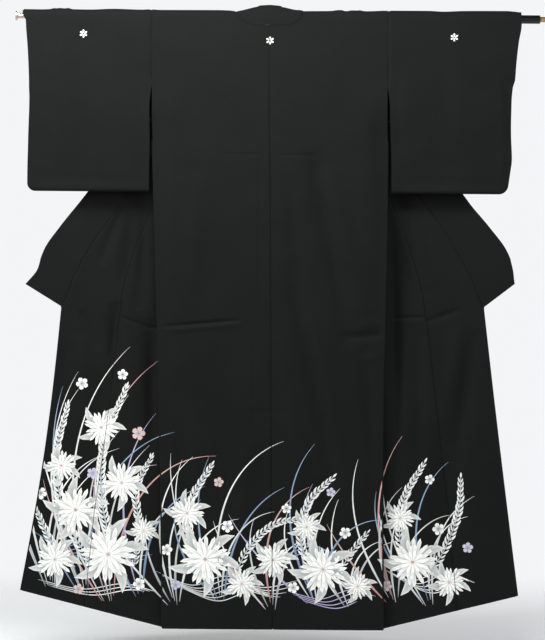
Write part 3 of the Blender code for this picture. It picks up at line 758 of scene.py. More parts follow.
def cloth_object(name, grids, outward, outside, inside, faced=False):
    """Cloth over grids of (point, flat place). Outward is a place near the piece and the way that
    its outer face looks there. Inside is the material of the lining."""
    mesh = bmesh.new()
    cut = mesh.verts.layers.float_vector.new("cut")
    for rows in grids:
        verts = []
        for row in rows:
            verts.append([])
            for point, flat in row:
                vert = mesh.verts.new(raised(point))
                vert[cut] = (flat[0], flat[1], 0)
                verts[-1].append(vert)
        for upper, lower in zip(verts, verts[1:]):
            for k in range(len(upper) - 1):
                mesh.faces.new((upper[k], upper[k + 1], lower[k + 1], lower[k]))
    bmesh.ops.remove_doubles(mesh, verts=mesh.verts, dist=MERGE)
    bmesh.ops.recalc_face_normals(mesh, faces=mesh.faces)
    nearest = min(mesh.faces, key=lambda face: (face.calc_center_median() - outward[0]).length)
    if nearest.normal.dot(outward[1]) < 0:
        bmesh.ops.reverse_faces(mesh, faces=mesh.faces)
    data = bpy.data.meshes.new(name)
    mesh.to_mesh(data)
    mesh.free()
    made = add_object(name, data, outside, inside, crepe)
    thick = made.modifiers.new("thickness", "SOLIDIFY")
    thick.thickness = THICKNESS
    thick.offset = -1
    thick.material_offset = 1
    thick.material_offset_rim = 0
    bpy.ops.object.modifier_apply(modifier=thick.name)
    places = made.data.attributes["cut"].data
    for face in made.data.polygons:
        downs = [abs(places[index].vector.y) for index in face.vertices]
        if faced and face.material_index == 1 and sum(downs) / len(downs) > FACING_DOWN:
            face.material_index = 2
    return smoothed(made, 50)


# %% [markdown]
# ## Black silk crepe
# Crepe is woven with hard-twisted weft that shrinks and puckers when it is wetted, so its face is
# a fine pebble that scatters light: nearly matt, with a soft sheen where it turns away. The grain
# is under a millimetre; here it is drawn 1.3 mm long, a little coarse, so that it still shows.

# %% Crepe
CREPE_GRAIN = 0.0013  # metres along the warp
CREPE_GRAIN_ACROSS = 0.0009
CREPE_PUCKER = 0.0032  # the wider, flatter pebbles that the grain gathers into
CREPE_PUCKER_ACROSS = 0.0065
DYE_DRIFT = 1 / 7  # 143 mm, patches that took the dye a little unevenly


def crepe_material(name, dark, light):
    """Black crepe, with a grain that follows the flat cut and a slow drift in the dye."""
    made, tree, shader = new_material(
        name,
        Roughness=0.78,
        Specular_IOR_Level=0.115,
        Sheen_Weight=0.028,
        Sheen_Roughness=0.42,
    )
    shader.inputs["Sheen Tint"].default_value = linear("#cfd6d8")
    place = add_node(tree, "Attribute", attribute_name="cut").outputs["Vector"]
    grain_scale = (1 / CREPE_GRAIN_ACROSS, 1 / CREPE_GRAIN, 1)
    pucker_scale = (1 / CREPE_PUCKER_ACROSS, 1 / CREPE_PUCKER, 1)
    grain_place = add_node(tree, "Mapping", {"Scale": grain_scale}, {"Vector": place})
    pucker_place = add_node(tree, "Mapping", {"Scale": pucker_scale}, {"Vector": place})
    grain = add_node(
        tree, "TexNoise", {"Scale": 1.0, "Detail": 3.0, "Roughness": 0.6}, {"Vector": grain_place}
    )
    puckers = add_node(tree, "TexNoise", {"Scale": 1.0, "Detail": 2.0}, {"Vector": pucker_place})
    uneven = {"Scale": 1 / DYE_DRIFT, "Detail": 4.0}
    drift = add_node(tree, "TexNoise", uneven, {"Vector": place})
    dye = add_node(
        tree, "Mix", {MIX_A: linear(dark), MIX_B: linear(light)}, {0: drift}, data_type="RGBA"
    )
    height = add_node(tree, "Math", {}, {0: grain, 1: puckers})
    # Painted shade and light: the dye's colour is made darker where the grain and puckers are low
    # and lighter where they are high, from the same height as the bump.
    painted_grain_shade = add_node(
        tree,
        "MapRange",
        {"From Min": 0.7, "From Max": 1.3, "To Min": 0.55, "To Max": 1.3},
        {"Value": height},
    )
    tone = add_node(
        tree, "VectorMath", {}, {0: dye.outputs[MIX_RESULT], 1: painted_grain_shade}, operation="MULTIPLY"
    )
    relief = add_node(tree, "Bump", {"Strength": 0.6, "Distance": 0.0005}, {"Height": height})
    connect(shader, {"Base Color": tone, "Normal": relief})
    return made


crepe = crepe_material("black silk crepe", "#070707", "#0e0e0e")
over_crepe = crepe_material("black silk crepe of the collar cover", "#060706", "#0d0d0c")

# %% [markdown]
# ## White silk lining
# The upper half of a lined kimono is lined with plain white silk. It is a smooth plain weave of
# fine reeled thread, so it shines softly along the threads. Its threads are about 0.3 mm apart,
# drawn at 0.9 mm so that they can be seen.

# %% Lining
LINING_THREADS = 0.0009
LINING_SLUBS = 1 / 14  # 71 mm, between patches of thicker thread
lining, tree, shader = new_material(
    "white plain-weave silk",
    Roughness=0.5,
    Specular_IOR_Level=0.4,
    Sheen_Weight=0.3,
    Sheen_Roughness=0.35,
)
place = add_node(tree, "Attribute", attribute_name="cut").outputs["Vector"]
thread_scale = (math.pi / LINING_THREADS, math.pi / LINING_THREADS, 1)
threads = add_node(tree, "Mapping", {"Scale": thread_scale}, {"Vector": place})
lengths = add_node(tree, "SeparateXYZ", {}, {0: threads})
warp = add_node(tree, "Math", {}, {0: lengths.outputs["X"]}, operation="SINE")
weft = add_node(tree, "Math", {}, {0: lengths.outputs["Y"]}, operation="SINE")
weave = add_node(tree, "Math", {}, {0: warp, 1: weft}, operation="MULTIPLY")
slubs = add_node(tree, "TexNoise", {"Scale": 1 / LINING_SLUBS, "Detail": 4.0}, {"Vector": place})
silk = add_node(
    tree,
    "Mix",
    {MIX_A: linear("#e3e0d8"), MIX_B: linear("#ebe8e1")},
    {0: slubs},
    data_type="RGBA",
)
relief = add_node(tree, "Bump", {"Strength": 0.3, "Distance": 0.0002}, {"Height": weave})
connect(shader, {"Base Color": silk.outputs[MIX_RESULT], "Normal": relief})

# %% [markdown]
# ## The two body strips
# Each half of the body is one unbroken length of cloth: up the back, over the rod, and down the
# front. The back halves meet in the centre seam, and the strip is sewn to itself down the side.
# Rows run across the cloth and get closer where a tuck or a stored fold crosses it.

# %% Rows and columns of the body
SEAM_EDGE = (0.001, 0.0025)  # the first columns beside a seam
LAP = 0.0015  # at a pressed seam one panel goes this far under its neighbour
LAP_WIDTH = 0.006
LAP_DIP = 0.0021
ROW_STEP = 0.006
CREASE_STEP = 0.0025
# Down to each place, how far apart the rows are: close over the stored fold and the tuck
BODY_BREAKS = (
    (TURN_STARTS_DOWN, ROW_STEP),
    (ARMHOLE_DOWN, ROW_STEP),
    (OVERLAP_TOP_DOWN, ROW_STEP),
    (SIDE_SEAM_DOWN, ROW_STEP),
    (0.386, ROW_STEP),
    (0.408, CREASE_STEP),
    (0.840, ROW_STEP),
    (0.882, CREASE_STEP),
    (COLLAR_END_DOWN, ROW_STEP),
    (HEM_DOWN, ROW_STEP),
)
ARC_STEPS = 10
arc_rows = [SHOULDER_ARC * step / ARC_STEPS for step in range(ARC_STEPS + 1)]
body_rows = list(arc_rows)
for down, step in BODY_BREAKS:
    body_rows += spread(body_rows[-1], down, step)
print(len(body_rows), "rows from shoulder to hem")


def strip(start, end, count, seam_first=False, seam_last=False):
    """Places across a strip of cloth in that many steps, close together beside a seam."""
    way = 1 if end > start else -1
    first = [start + way * edge for edge in SEAM_EDGE] if seam_first else []
    last = [end - way * edge for edge in reversed(SEAM_EDGE)] if seam_last else []
    inner_start = first[-1] if first else start
    inner_end = last[0] if last else end
    steps = count - len(first) - len(last)
    middle = [inner_start + (inner_end - inner_start) * k / steps for k in range(1, steps)]
    return [start, *first, *middle, *last, end]


def lapped(down):
    """The share of its lap that a front's edge has, that far down."""
    return ease((down - TURN_STARTS_DOWN) / 0.06)


def lap_dip(distance):
    """How far a panel sinks on its way under its neighbour, by the distance from its own edge."""
    return LAP_DIP * (1 - ease(distance / LAP_WIDTH))


# %% Columns of the back
FIRST_COLUMNS = 30
NECK_ARC_SHARE = SHOULDER_ARC / (SHOULDER_ARC + NECK_DROP)
neck_shares = [NECK_ARC_SHARE * step / ARC_STEPS for step in range(1, ARC_STEPS + 1)]
neck_shares += [0.58, 0.66, 0.74, 0.81, 0.87, 0.92, 0.955, 0.98, 0.993, 0.999, 1.0]
neck_places = [neck_cut(share) for share in neck_shares]
CENTRE_OUTS = [0.0012, 0.0026, 0.006, 0.011, 0.016, 0.021, 0.0255, 0.029, 0.032, 0.035]
CENTRE_OUTS += [0.0385, 0.042, 0.045, 0.048, 0.0515, 0.056]
FAN_DOWN = 0.25  # down to here the columns fan out from the neck, before they run straight


def back_outs(side, down):
    """How far out each column of the back lies: fanned round the neck, then even below it."""
    half = level_at(down).side
    fanned = strip(half, NECK_OUT, FIRST_COLUMNS, True) + [out for out, _ in neck_places]
    settled = strip(half, CENTRE_OUTS[-1], len(fanned) - 1 - len(CENTRE_OUTS), True)
    settled += [*reversed(CENTRE_OUTS[:-1]), SEAM_GAP / 2]
    share = ease(down / FAN_DOWN)
    outs = [fan + (even - fan) * share for fan, even in zip(fanned, settled)]
    outs[-1] = SEAM_GAP / 2 if side == "right" else -LAP
    return outs


# %% Columns of the front
TURN_COLUMNS = 10
SECOND_COLUMNS = 40


def front_columns(side, down):
    if down < TURN_STARTS_DOWN:
        return strip(0.0, front_width(down), FIRST_COLUMNS, True)
    first = level_at(down).side - turn_middle(side, down)
    turned = first + math.pi * level_at(down).turn
    edge = body_width(down) + LAP * lapped(down)
    places = strip(0.0, first, FIRST_COLUMNS, True)
    places += strip(first, turned, TURN_COLUMNS)[1:]
    return places + strip(turned, edge, SECOND_COLUMNS, False, True)[1:]


# %% Build the body
SIDE_TURN_STEPS = 6


def make_body(side):
    flat = sign_of(side)
    cut = [0.0] * (FIRST_COLUMNS + 1) + [lowest for _, lowest in neck_places]
    front, back = [], []
    for down in body_rows:
        columns = front_columns(side, down)
        row = []
        for across in columns:
            point = front_point(side, down, across)
            if len(columns) > FIRST_COLUMNS + 1:
                point.y += lap_dip(columns[-1] - across) * lapped(down)
            row.append((point, (flat * (SHOULDER_OUT - across), -down)))
        front.append(row)
        row = []
        for out, lowest in zip(back_outs(side, down), cut):
            lower = down + lowest * (1 - ease(down / 0.2))
            point = back_point(side, lower, out)
            if side == "left":
                point.y += lap_dip(out + LAP)
            row.append((point, (flat * out, lower)))
        back.append(row)
    back[0][: FIRST_COLUMNS + 1] = front[0]
    turn = []
    for down, front_row, back_row in zip(body_rows, front, back):
        if down < SIDE_SEAM_DOWN:
            continue
        start, end = back_row[0][0], front_row[0][0]
        middle, reach = (start + end) / 2, (end - start) / 2
        outward = Vector((flat * reach.length, 0, 0))
        row = []
        for step in range(SIDE_TURN_STEPS + 1):
            angle = math.pi * step / SIDE_TURN_STEPS
            point = middle - reach * math.cos(angle) + outward * math.sin(angle)
            row.append((point, (flat * (SHOULDER_OUT + 0.001 * step), down)))
        turn.append(row)
    grids = (
        back,
        [row[: FIRST_COLUMNS + 1] for row in front],
        [row[FIRST_COLUMNS:] for row in front if len(row) > FIRST_COLUMNS + 1],
        turn,
    )
    outward = (placed(side, 0.15, -0.012, -1.0), TO_VIEWER)
    return cloth_object(f"body_cloth_{side}", grids, outward, crepe, lining, faced=True)


bodies = {side: make_body(side) for side in SIDES}

# %% [markdown]
# ## The overlap panels
# A narrow panel is sewn to the edge of each front, so that the fronts wrap over each other when
# worn. It tapers to a point under the collar.

# %% Build the overlap panels
OVERLAP_FIRST_ROW = 0.262
OVERLAP_COLUMNS = 28
NARROW = 0.02  # where the panel is narrower, its columns are even


def make_overlap(side):
    rows = []
    for down in [OVERLAP_FIRST_ROW] + [row for row in body_rows if row > OVERLAP_FIRST_ROW]:
        start = body_width(down) + SEAM_GAP / 2
        end = front_width(down)
        collared = down <= COLLAR_END_DOWN
        if collared:
            end += LAP
        seamed = end - start >= NARROW
        places = strip(start, end, OVERLAP_COLUMNS, seamed, seamed)
        row = []
        for place in places:
            point = front_point(side, down, place)
            if collared:
                point.y += lap_dip(end - place)
            row.append((point, (sign_of(side) * (SHOULDER_OUT - place), -down)))
        rows.append(row)
    outward = (placed(side, 0.6, 0.02, -1.3), TO_VIEWER)
    return cloth_object(f"overlap_cloth_{side}", (rows,), outward, crepe, lining, faced=True)


overlaps = {side: make_overlap(side) for side in SIDES}

# %% [markdown]
# ## The sleeves
# A sleeve is one length folded over the rod and sewn shut at the bottom and up to the opening for
# the hand. It is sewn to the body only at the top; below that its inner edge hangs free. The
# outer bottom corner is rounded, as on a formal kimono.

# %% Sleeve folds
SLEEVE_FOLDS = {
    "right": folds_of(
        (648, -150, 655, -330, 9, 4.2),
        (655, -290, 640, -480, 8, 3.2),
        (625, -140, 635, -430, 12, -1.6),
        (345, -100, 352, -460, 15, 1.8),
        (470, -60, 478, -470, 30, 2.2),
        (340, -445, 630, -455, 16, 1.8),
    ),
    "left": folds_of(
        (500, -50, 494, -460, 32, 2.4),
        (575, -10, 556, -180, 12, -1.8),
        (355, -120, 345, -450, 18, 1.8),
        (330, -452, 640, -440, 16, 1.6),
    ),
}


# %% A point of the sleeve
FOLD_SHARES = {-1: 1, 1: 0.4}  # the front of a sleeve shows the folds of its back faintly


def sleeve_point(side, face, down, place):
    """A point of the sleeve's outer face. Face is -1 on the back and 1 on the front."""
    edge = between(SLEEVE_EDGES[side], down)
    inner = level_at(down).side + edge.gap
    left = SLEEVE_DROP - down
    outer = edge.out
    if left < SLEEVE_CORNER:
        outer -= SLEEVE_CORNER - math.sqrt(SLEEVE_CORNER**2 - (SLEEVE_CORNER - left) ** 2)
    sewn = 1 - ease((down - SLEEVE_SEWN_DOWN + SLEEVE_SEWN_FADE) / SLEEVE_SEWN_FADE)
    tucked = 1 - ease((outer - inner) * place / LAP_WIDTH)
    out = inner + (outer - inner) * place - LAP * sewn * tucked
    lift = rucked(side, out, down)
    sunk = LAP_DIP * sewn * tucked
    if down <= SHOULDER_ARC:
        radius = SHOULDER_RADIUS + lift - sunk
        angle = down / SHOULDER_RADIUS
        return placed(side, out, face * radius * math.sin(angle), radius * math.cos(angle))
    apart = ease((SLEEVE_FLAT_DOWN - down) / SLEEVE_FLATTENS)
    half = PILLOW_EDGE + (SHOULDER_RADIUS - PILLOW_EDGE) * apart
    if left < PILLOW_EDGE:
        half *= math.sqrt(1 - (1 - left / PILLOW_EDGE) ** 2)
    from_edge = (outer - out) / PILLOW_EDGE
    if from_edge < 1:
        shut = math.sqrt(max(1 - (1 - from_edge) ** 2, 0.0))
        half *= 1 + (shut - 1) * ease((down - CUFF_DOWN + CUFF_EASE) / (2 * CUFF_EASE))
    y = face * (half + lift - sunk)
    z = z_of(down)
    free = ease(from_edge / 1.5) * ease(left / 0.03) * ease((down - 0.02) / 0.05)
    y += fold_depth(SLEEVE_FOLDS[side], out, z) * free * FOLD_SHARES[face]
    y += ripple(sign_of(side) * out, z, SLEEVE_WAVES[face]) * free
    return placed(side, out, y, z)


# %% Build the sleeves
SLEEVE_COLUMNS = 54
SLEEVE_EDGE_ROW = 0.003  # rows round the outer bottom corner
TURNED_IN = 0.018  # beside the open inner edge the crepe is turned in over the lining
ROUNDING = (0.0, 0.03, 0.134, 0.29, 0.5, 0.74, 1.0)


def make_sleeve(side):
    downs = list(arc_rows)
    for stop in (CUFF_DOWN - CUFF_EASE, CUFF_DOWN + CUFF_EASE, SLEEVE_DROP - SLEEVE_CORNER):
        downs += spread(downs[-1], stop, ROW_STEP)
    downs += spread(downs[-1], SLEEVE_DROP - PILLOW_EDGE, SLEEVE_EDGE_ROW)
    downs += [SLEEVE_DROP - PILLOW_EDGE * share for share in reversed(ROUNDING[:-1])]
    width = SLEEVE_WIDTHS[side]
    places = strip(0.0, width - PILLOW_EDGE, SLEEVE_COLUMNS, True)
    places += [width - PILLOW_EDGE * share for share in reversed(ROUNDING[:-1])]
    rows = []
    for face, levels in ((-1, list(reversed(downs))), (1, downs[1:])):
        for down in levels:
            flat = [(sign_of(side) * (SHOULDER_OUT + place), -face * down) for place in places]
            points = [sleeve_point(side, face, down, place / width) for place in places]
            rows.append(list(zip(points, flat)))
    outward = (placed(side, 0.5, -0.014, -0.2), TO_VIEWER)
    made = cloth_object(f"sleeve_cloth_{side}", (rows,), outward, crepe, lining)
    cut = made.data.attributes["cut"].data
    for face in made.data.polygons:
        spot = cut[face.vertices[0]].vector
        if face.material_index == 1 and abs(spot.x) < SHOULDER_OUT + TURNED_IN:
            face.material_index = 2
    return made


sleeves = {side: make_sleeve(side) for side in SIDES}

# %% [markdown]
# ## The collar
# The collar is a long straight strip, doubled and folded. Behind the neck it stands over the rod;
# on the open fronts it lies flat along their slanting edge. A shorter cover is sewn over its
# middle, where it would soil first. Its fold and its free edge come from a table of offsets.

# %% Sections of the collar
COLLAR_COLUMNS = 26
COLLAR_ROW = 0.005
COLLAR_WIDTH = 0.052  # finished, folded in half
HALF_NECK = 0.13  # length of its seam from the centre back to the side of the neck


def collar_section(side, seam, rise_axis, row, flat_down):
    """Points across the collar, from its sewn edge over its fold to its free edge."""
    mirror = sign_of(side)
    fold = seam + Vector((mirror * row.fold_out, row.fold_y, row.fold_z)) / 1000
    free = seam + Vector((mirror * row.free_out, row.free_y, row.free_z)) / 1000
    points = []
    for k in range(COLLAR_COLUMNS + 1):
        place = 2 * k / COLLAR_COLUMNS
        start, share = (seam, place) if place <= 1 else (free, 2 - place)
        reach = fold - start
        upward = rise_axis * reach.dot(rise_axis)
        away = Vector((0, reach.y, 0))
        rise = math.sin(share * math.pi / 2) ** (2 / 3)
        cross = 1 - max(math.cos(share * math.pi / 2), 0.0) ** (2 / 3)
        arch = upward * rise + away * cross + (reach - upward - away) * share
        point = start + (reach * share).lerp(arch, row.arched)
        points.append((point, (COLLAR_WIDTH * place, flat_down)))
    return points


def neck_sections(side):
    """The collar from the centre back to the side of the neck, over the rod."""
    rows = []
    for share in [*reversed(neck_shares), 0.0]:
        out, down = neck_cut(share, SEAM_GAP)
        seam = back_point(side, down, out)
        seam += Vector((0, seam.y, max(seam.z, 0))).normalized() * COLLAR_PROUD
        row = between(COLLAR_FOLDS, -share)
        rows.append(collar_section(side, seam, Vector((0, 0, 1)), row, HALF_NECK * (1 - share)))
    return rows


def folded_collar(side, down):
    """The collar's offsets that far down, drawn out and up towards the tip of the wing."""
    row, wing = between(COLLAR_FOLDS, down), WINGS[side]
    drawn = 1000 * ease((down - TIP_STARTS_DOWN) / (COLLAR_END_DOWN - TIP_STARTS_DOWN))
    drawn_out = wing.tip_out * drawn + between(COLLAR_DRAWN[side], down).out
    drawn_up = wing.tip_z * drawn
    return row._replace(
        fold_out=row.fold_out + drawn_out / 2,
        fold_z=row.fold_z + drawn_up / 2,
        free_out=row.free_out + drawn_out,
        free_z=row.free_z + drawn_up,
    )


def front_sections(side, downs):
    """The collar along the edge of the front."""
    run = collar_run(side).normalized()
    open_across = Vector((-sign_of(side) * run.y, 0, run.x))
    rows = []
    for down in downs:
        opened = ease((down - 0.03) / 0.17)
        beside = SEAM_GAP + SEAMED_WALL * (1 - opened)
        seam = front_point(side, down, front_width(down) + beside)
        seam += Vector((0, seam.y, max(seam.z, 0))).normalized() * COLLAR_PROUD * (1 - opened)
        across = Vector((0, 0, 1)).lerp(open_across, ease(down / 0.15)).normalized()
        row = folded_collar(side, down)
        flat_down = HALF_NECK + collar_seam_length(down)
        rows.append(collar_section(side, seam, across, row, flat_down))
    return rows


# %% Build the collar and its cover
def make_over_collar():
    downs = arc_rows[1:] + spread(SHOULDER_ARC, OVER_COLLAR_DOWN, COLLAR_ROW)
    left, right = (neck_sections(side) + front_sections(side, downs) for side in SIDES)
    left = [[(point, (flat[0], -flat[1])) for point, flat in row] for row in left]
    grid = list(reversed(left)) + right[1:]
    outward = (right[0][1][0], TO_VIEWER)
    return cloth_object("collar_cover_cloth", (grid,), outward, over_crepe, lining)


def make_collar(side):
    start = OVER_COLLAR_DOWN + SEAM_GAP
    rows = front_sections(side, [start, *spread(start, COLLAR_END_DOWN, COLLAR_ROW)])
    outward = (placed(side, 0.5, 0.03, -0.5), TO_VIEWER)
    return cloth_object(f"collar_cloth_{side}", (rows,), outward, crepe, lining)


collar_cover = make_over_collar()
collars = {side: make_collar(side) for side in SIDES}

# %% [markdown]
# ## The dyed picture at the hem
# Only the part below the waist carries a picture, densest on the open front. It is dyed with a
# paste resist: each shape is outlined, filled in white or a pale colour, and shaded towards its
# root with a brush. This one is a general garden of chrysanthemums, plum blossom, fronds and
# grasses in the wind over running water. Every petal and leaf is a flat strip drawn in the plane
# of the picture, with a fine darker line at its edge. Later the strips are cut at the seams and
# laid on the cloth.

# %% Dye colours
WHITE = linear("#f1efe9")
PEARL = linear("#dcdbd6")
SILVER = linear("#a9adaf")
SHADE = linear("#7d8286")
LINE = linear("#565c61")
SLATE = linear("#566c8a")
SLATE_PALE = linear("#8fa3ba")
ROSE = linear("#a8706c")
ROSE_PALE = linear("#cfa7a1")
LAVENDER = linear("#8b80a6")
LAVENDER_PALE = linear("#b7aecb")


def blend(first, second, share):
    share = clamp(share)
    return tuple(a + (b - a) * share for a, b in zip(first, second))


# %% A strip of dye along a path
picture = bmesh.new()
dye_layer = picture.verts.layers.float_color.new("dye")
lift_layer = picture.verts.layers.float.new("lift")
LEAST_WIDTH = 0.0005
ROUND_TIP, POINTED, EVEN, BLADE, THIN_ENDS = range(5)


def width_share(form, share):
    if form == ROUND_TIP:
        return (0.25 + 0.75 * share**0.8) * (1 - share**5) ** 0.5
    if form == POINTED:
        return math.sin(math.pi * share**0.75) ** 0.8
    if form == BLADE:
        return min(1.0, 0.15 + 4 * share) * (1 - share) ** 0.6
    if form == THIN_ENDS:
        return min(1.0, 0.2 + 8 * share, 0.2 + 8 * (1 - share))
    return 1.0


def add_strip(path, width, form, root, tip, layer, line=LINE, vein=0.0):
    """Adds a petal, blade or line of water along a path of (x, z). Its colour runs from root to
    tip, its edges are lined, and a vein darkens its middle."""
    count = len(path) - 1
    rows = []
    for k, here in enumerate(path):
        before, after = path[max(k - 1, 0)], path[min(k + 1, count)]
        along = (after - before).normalized()
        side = Vector((-along.y, along.x))
        share = k / count
        half = max(width * width_share(form, share), LEAST_WIDTH) / 2
        rim = min(0.0006 / half, 0.3)
        fill = blend(root, tip, share**0.8)
        row = []
        for place, colour in (
            (-1, line),
            (-1 + rim, fill),
            (0, blend(fill, root, vein)),
            (1 - rim, fill),
            (1, line),
        ):
            spot = here + side * place * half
            vert = picture.verts.new((spot.x, 0, spot.y))
            vert[dye_layer] = colour
            vert[lift_layer] = layer
            row.append(vert)
        rows.append(row)
    for upper, lower in zip(rows, rows[1:]):
        for k in range(len(upper) - 1):
            picture.faces.new((upper[k], lower[k], lower[k + 1], upper[k + 1]))


def smooth_path(points, step=0.006):
    """A smooth curve through the points, as places about a step apart."""
    points = [Vector(point) for point in points]
    ends = [points[0] * 2 - points[1], *points, points[-1] * 2 - points[-2]]
    path = [points[0]]
    for a, b, c, d in zip(ends, ends[1:], ends[2:], ends[3:]):
        count = max(2, round((c - b).length / step))
        for k in range(1, count + 1):
            t = k / count
            path.append(
                0.5
                * (
                    2 * b
                    + (c - a) * t
                    + (2 * a - 5 * b + 4 * c - d) * t * t
                    + (3 * b - a - 3 * c + d) * t * t * t
                )
            )
    return path


def turned(angle, length=1.0):
    return Vector((math.sin(angle), math.cos(angle))) * length


def heading_of(step):
    return math.atan2(step.x, step.y)


def spoke(centre, angle, length, near, steps, bow=0.0):
    """A path outwards from near the centre, bent by a bow."""
    shares = [step / steps for step in range(steps + 1)]
    return [centre + turned(angle + bow * s * s, length * (near + (1 - near) * s)) for s in shares]


# %% A chrysanthemum, ring over ring
def add_chrysanthemum(x, z, radius, turn, layer, rings=((1.0, 19), (0.76, 15), (0.52, 11))):
    centre = Vector((x, z))
    for level, (reach, petals) in enumerate(rings):
        for k in range(petals):
            angle = turn + 0.35 * level + 2 * math.pi * k / petals
            length = radius * reach * (1 + 0.07 * math.sin(5.1 * k + 2.3 * level + 40 * x))
            path = spoke(centre, angle, length, 0.12, 6, 0.10 * math.sin(3.7 * k + level))
            width = 2.25 * math.pi * length / petals * 0.62
            order = layer + 2 * level + (k % 2)
            root = (SHADE, SILVER, PEARL)[level]
            add_strip(path, width, ROUND_TIP, root, WHITE, order, vein=0.25)
    for k in range(7):
        path = [centre + turned(0.9 * k, 0.004 * s + 0.001) for s in range(3)]
        add_strip(path, 0.0042, ROUND_TIP, ROSE_PALE, PEARL, layer + 2 * len(rings) + k % 2)


# %% Plum blossom
def add_plum(x, z, radius, turn, layer, tint=WHITE):
    centre = Vector((x, z))
    for k in range(5):
        angle = turn + 2 * math.pi * k / 5
        path = spoke(centre, angle, radius, 0.06, 5)
        root = blend(SILVER, tint, 0.2)
        add_strip(path, radius * 1.02, ROUND_TIP, root, tint, layer + k % 2, vein=0.3)
    for k in range(10):
        angle = turn + 0.3 + 2 * math.pi * k / 10
        path = [centre + turned(angle, radius * share) for share in (0.05, 0.25, 0.45)]
        add_strip(path, 0.0011, EVEN, SHADE, SHADE, layer + 2, line=SHADE)


# %% A frond with narrow leaves
def add_frond(points, leaf, layer, tint=WHITE, root=SILVER):
    """A curved stem with small leaves on both sides that get shorter towards its tip."""
    path = smooth_path(points, 0.0045)
    add_strip(path, 0.0022, EVEN, root, root, layer, line=SHADE)
    for k in range(2, len(path) - 1, 3):
        share = k / len(path)
        heading = heading_of(path[k + 1] - path[k - 1])
        size = leaf * (0.55 + 0.60 * math.sin(math.pi * (0.14 + 0.74 * share)))
        for way in (-1, 1):
            length = size * (1 + 0.14 * math.sin(2.9 * k + way))
            leaf_path = []
            for reach in (0.0, 0.25, 0.5, 0.75, 1.0):
                bend = way * (1.15 - 0.45 * share) * (1 - 0.45 * reach)
                leaf_path.append(path[k] + turned(heading + bend, length * reach))
            add_strip(leaf_path, length * 0.30, POINTED, root, tint, layer + 1 + way, vein=0.3)
    tip_path = spoke(path[-1], heading_of(path[-1] - path[-3]), leaf * 0.8, 0.0, 4)
    add_strip(tip_path, leaf * 0.30, POINTED, root, tint, layer + 3, vein=0.3)


# %% A clump of long blades of grass
WIND = 0.95  # radians that a blade bends over to the right


def add_blade(start, length, heading, droop, width, root, tip, layer):
    """One blade. It starts along its heading and bends over by its droop."""
    path, steps = [start], round(length / 0.011)
    for k in range(1, steps + 1):
        share = k / steps
        path.append(path[-1] + turned(heading + droop * share**1.7, length / steps))
    add_strip(path, width, BLADE, root, tip, layer, vein=0.45)


def add_clump(x, z, count, length, lean, fan, layer, tints):
    """Blades that fan out from one root and bend over in the wind, the shorter ones most."""
    for k in range(count):
        across = 2 * k / (count - 1) - 1
        uneven = math.sin(4.7 * k + 31 * x)
        heading = lean - 0.30 + fan * across + 0.06 * uneven
        reach = length * (1 - 0.30 * abs(across)) * (1 + 0.20 * math.sin(2.6 * k + 17 * x))
        droop = WIND * (1 + 0.35 * uneven) + 0.35 * across
        root, tip = tints[k % len(tints)]
        start = Vector((x + 0.016 * across, z + 0.010 * uneven))
        add_blade(start, reach, heading, droop, 0.0072, root, tip, layer + k % 3)


# %% Running water
def add_water(points, lines, gap, dark, pale):
    """Thin lines that run side by side and end one after the other."""
    for k in range(lines):
        moved = [Vector(p) + Vector((0.014 * k, -gap * k)) for p in points]
        path = smooth_path(moved, 0.008)
        path = path[: len(path) - 4 * k]
        add_strip(path, 0.0022, THIN_ENDS, dark, pale, 0, line=dark)


# %% The garden, from the back of the picture to its front
WHITES = ((SILVER, WHITE), (SHADE, PEARL), (SILVER, WHITE))
BLUES = ((SLATE, SLATE_PALE), (SILVER, WHITE), (SILVER, PEARL))
ROSES = ((ROSE, ROSE_PALE), (SILVER, WHITE), (SHADE, PEARL))
VIOLETS = ((LAVENDER, LAVENDER_PALE), (SILVER, WHITE), (SLATE, SLATE_PALE))
WATER = (
    (((-0.640, -1.400), (-0.560, -1.445), (-0.480, -1.430), (-0.400, -1.470), (-0.310, -1.465)),
     5, 0.0085, SLATE, SLATE_PALE),
    (((-0.620, -1.535), (-0.500, -1.560), (-0.390, -1.545), (-0.300, -1.565)),
     3, 0.0080, SILVER, WHITE),
    (((-0.300, -1.510), (-0.200, -1.545), (-0.110, -1.520), (-0.010, -1.550), (0.090, -1.530)),
     6, 0.0085, SILVER, PEARL),
    (((-0.060, -1.420), (0.030, -1.450), (0.110, -1.430), (0.190, -1.460)),
     3, 0.0080, SLATE, SLATE_PALE),
    (((0.060, -1.560), (0.150, -1.580), (0.230, -1.555), (0.300, -1.572)),
     4, 0.0085, LAVENDER, LAVENDER_PALE),
    (((0.320, -1.500), (0.400, -1.530), (0.480, -1.505), (0.570, -1.535)),
     5, 0.0085, SILVER, WHITE),
)
for course in WATER:
    add_water(*course)

CLUMPS = (
    (-0.590, -1.545, 6, 0.50, 0.08, 0.24, WHITES),
    (-0.500, -1.560, 7, 0.66, 0.02, 0.26, BLUES),
    (-0.430, -1.585, 7, 0.64, 0.02, 0.28, ROSES),
    (-0.350, -1.570, 6, 0.46, -0.05, 0.36, VIOLETS),
    (-0.250, -1.590, 6, 0.38, 0.00, 0.42, WHITES),
    (-0.130, -1.580, 7, 0.46, -0.02, 0.46, BLUES),
    (0.010, -1.600, 6, 0.32, -0.05, 0.50, ROSES),
    (0.130, -1.585, 6, 0.40, -0.08, 0.44, VIOLETS),
    (0.225, -1.595, 5, 0.28, -0.05, 0.40, WHITES),
    (0.345, -1.580, 6, 0.42, -0.05, 0.36, ROSES),
    (0.440, -1.590, 6, 0.40, -0.12, 0.38, BLUES),
)
for k, (x, z, count, length, lean, fan, tints) in enumerate(CLUMPS):
    add_clump(x, z, count, length, lean, fan, 1 + 3 * (k % 2), tints)

